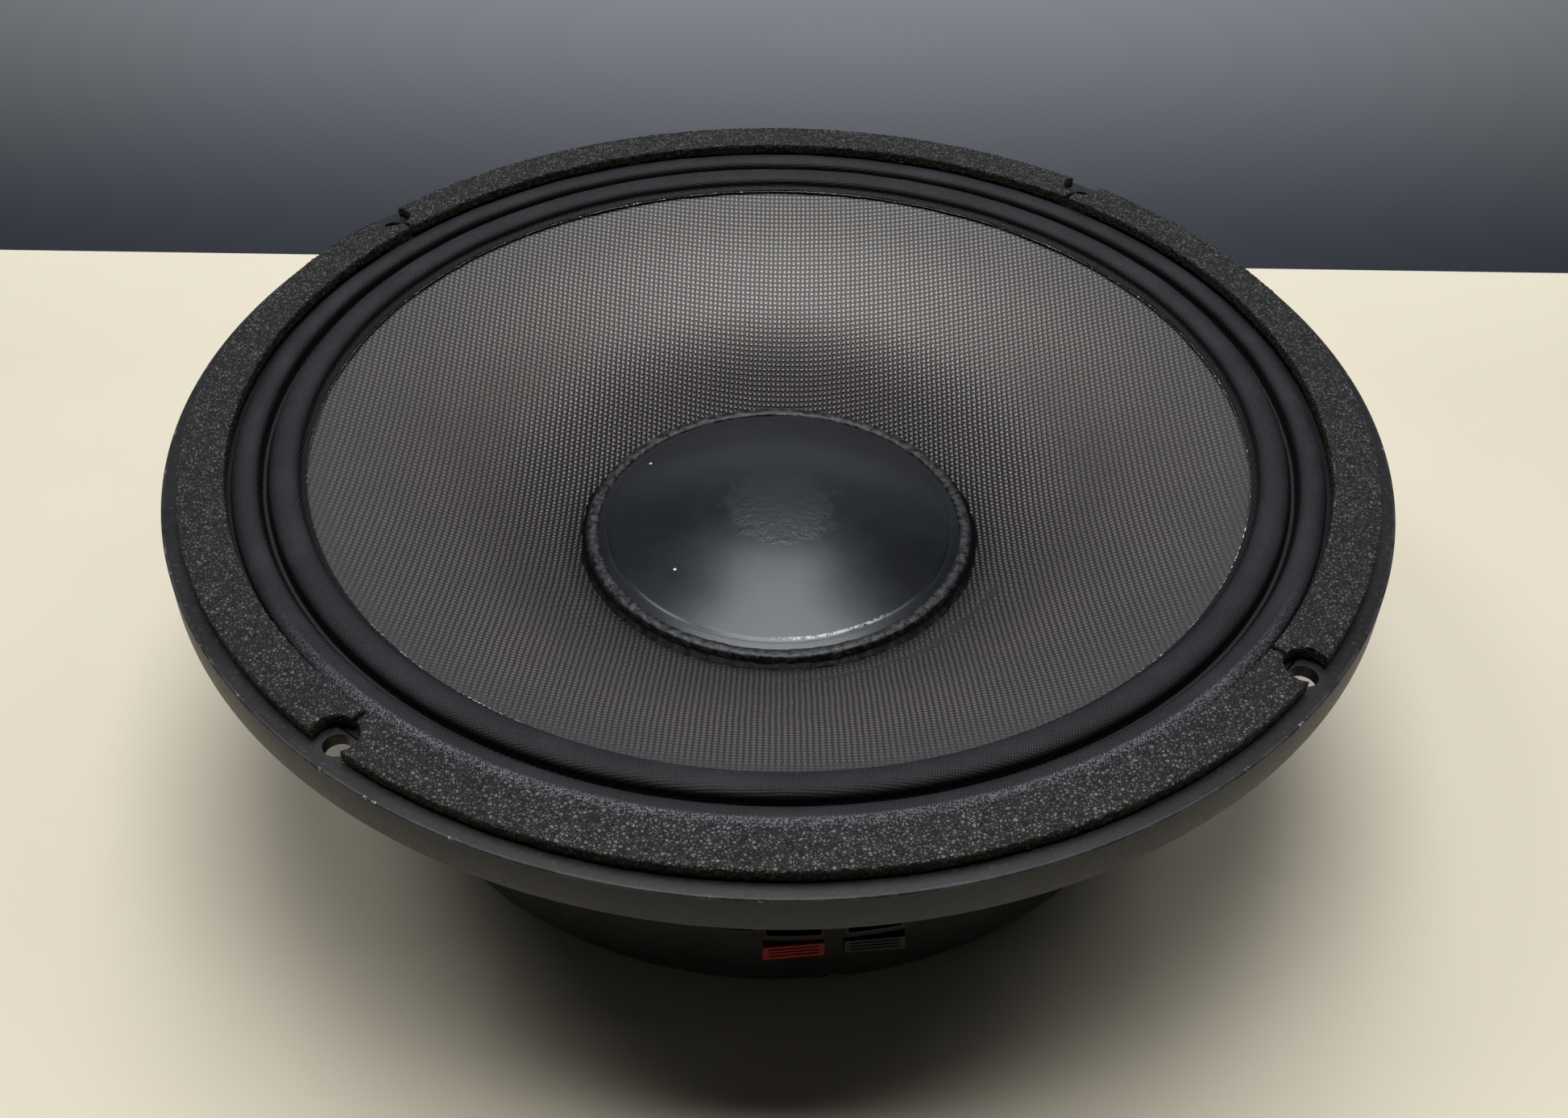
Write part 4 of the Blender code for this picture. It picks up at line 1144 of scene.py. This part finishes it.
# ---- camera, stage and light ---------------------------------------------------------------
VIEW_ANGLE = math.radians(-6.7)      # the view, and the table with it
VIEW_TURN = Matrix.Rotation(VIEW_ANGLE, 3, "Z")


def camera():
    lens = bpy.data.cameras.new("camera")
    lens.sensor_width = 36.0
    lens.lens = 40.14
    lens.clip_start = 0.01
    made = placed("camera", lens)
    made.location = VIEW_TURN @ Vector((0, -0.3704, 0.2771)) + Vector((0, 0, FLANGE_Z))
    look = VIEW_TURN @ Vector((0.00328, 0.75006, -0.66136))
    roll = Quaternion((0, 0, 1), math.radians(0.99))
    made.rotation_mode = "QUATERNION"
    made.rotation_quaternion = look.to_track_quat("-Z", "Y") @ roll
    bpy.context.scene.camera = made


def table_top():
    p = Paint("table_top", Specular_IOR_Level=0.35)
    cloud = p.noise(180 * MM, 4.0, 0.6)
    color = p.mix(cloud, (0.66, 0.615, 0.50), (0.72, 0.675, 0.555))
    stretched = p.vector("MULTIPLY", p.place, (0.35, 1.0, 1.0))
    scratch = p.step(p.noise(5 * MM, 6.0, 0.7, stretched, 1.2), 0.70, 0.74)
    color = p.mix(p.math("MULTIPLY", scratch, 0.14), color, (0.30, 0.27, 0.22))
    return p.finish(Base_Color=color, Roughness=p.step(cloud, 0.3, 0.7, 0.42, 0.5),
                    Normal=p.bump(p.noise(1.5 * MM, 3.0), 0.05 * MM, 0.15))


def wall_paint():
    p = Paint("wall_paint", Roughness=0.8)
    z = p.axes()[2]
    # painted shade: the wall is darker towards the bottom
    color = p.mix(p.step(z, -0.78, -0.35), (0.085, 0.096, 0.125), (0.33, 0.345, 0.38))
    return p.finish(Base_Color=color, Normal=p.bump(p.noise(3 * MM, 3.0), 0.2 * MM, 0.2))


def stage():
    edge_y = 0.242
    outline = soften([(-1.7, -1.9), (1.7, -1.9), (1.7, edge_y), (-1.7, edge_y)], 0.01, 3)
    table = pillow("table", outline, -0.03, 0.0, edge=2 * MM)
    table.data.materials.append(table_top())
    wall = pillow("wall", [(-3.5, 1.45), (3.5, 1.45), (3.5, 1.5), (-3.5, 1.5)], -1.6, 2.4, edge=1 * MM)
    wall.data.materials.append(wall_paint())
    for thing in (table, wall):
        thing.rotation_euler.z = VIEW_ANGLE


def lamp(name, place, size, power, color, aim=(0, 0, 0.06)):
    light = bpy.data.lights.new(name, "AREA")
    light.shape = "RECTANGLE"
    light.size, light.size_y = size
    light.energy = power
    light.color = color
    made = placed(name, light)
    made.location = VIEW_TURN @ Vector(place)
    made.rotation_euler = (Vector(aim) - made.location).to_track_quat("-Z", "Y").to_euler()


def lights():
    white = (1.0, 0.985, 0.965)
    warm = (1.0, 0.98, 0.95)
    lamp("ceiling_front", (0.0, -0.06, 1.45), (0.80, 0.66), 14.5, white)
    lamp("ceiling_middle", (0.0, 0.42, 1.46), (0.80, 0.34), 4.6, white)
    lamp("ceiling_back", (0.0, 0.77, 1.37), (0.44, 0.38), 2.8, white)
    lamp("left_fill", (-0.95, 0.15, 1.50), (0.5, 0.5), 6.2, warm)
    lamp("right_fill", (0.95, 0.15, 1.50), (0.5, 0.5), 3.4, warm)
    low_on_wall = VIEW_TURN @ Vector((0, 1.45, -0.2))
    lamp("wall_wash", (0.0, 0.80, 0.55), (1.8, 0.25), 16.5, (0.96, 0.98, 1.0), aim=low_on_wall)
    world = bpy.data.worlds.new("room")
    world.use_nodes = True
    glow = world.node_tree.nodes["Background"].inputs
    glow["Color"].default_value = (0.97, 0.94, 0.90, 1)
    glow["Strength"].default_value = 0.035
    bpy.context.scene.world = world
    bpy.context.scene.view_settings.view_transform = "Standard"


camera()
stage()
lights()
basket()
for segment in (1, 2, 3, 4):
    gasket_segment(segment)
motor()
vent_screen()
frame_screws()
cone()
dust_cap()
cap_glue_bead()
voice_coil()
surround()
edge_glue()
spider()
terminal_block()
terminal_lever("push_lever_red", -1, "red_plastic", "red_lever", "terminal_lever_red")
terminal_lever("push_lever_black", 1, "black_plastic", "black_lever", "terminal_lever_black")
for pole_name, pole_side in (("positive", -1), ("negative", 1)):
    tinsel_lead(pole_name, pole_side)
carried_over()
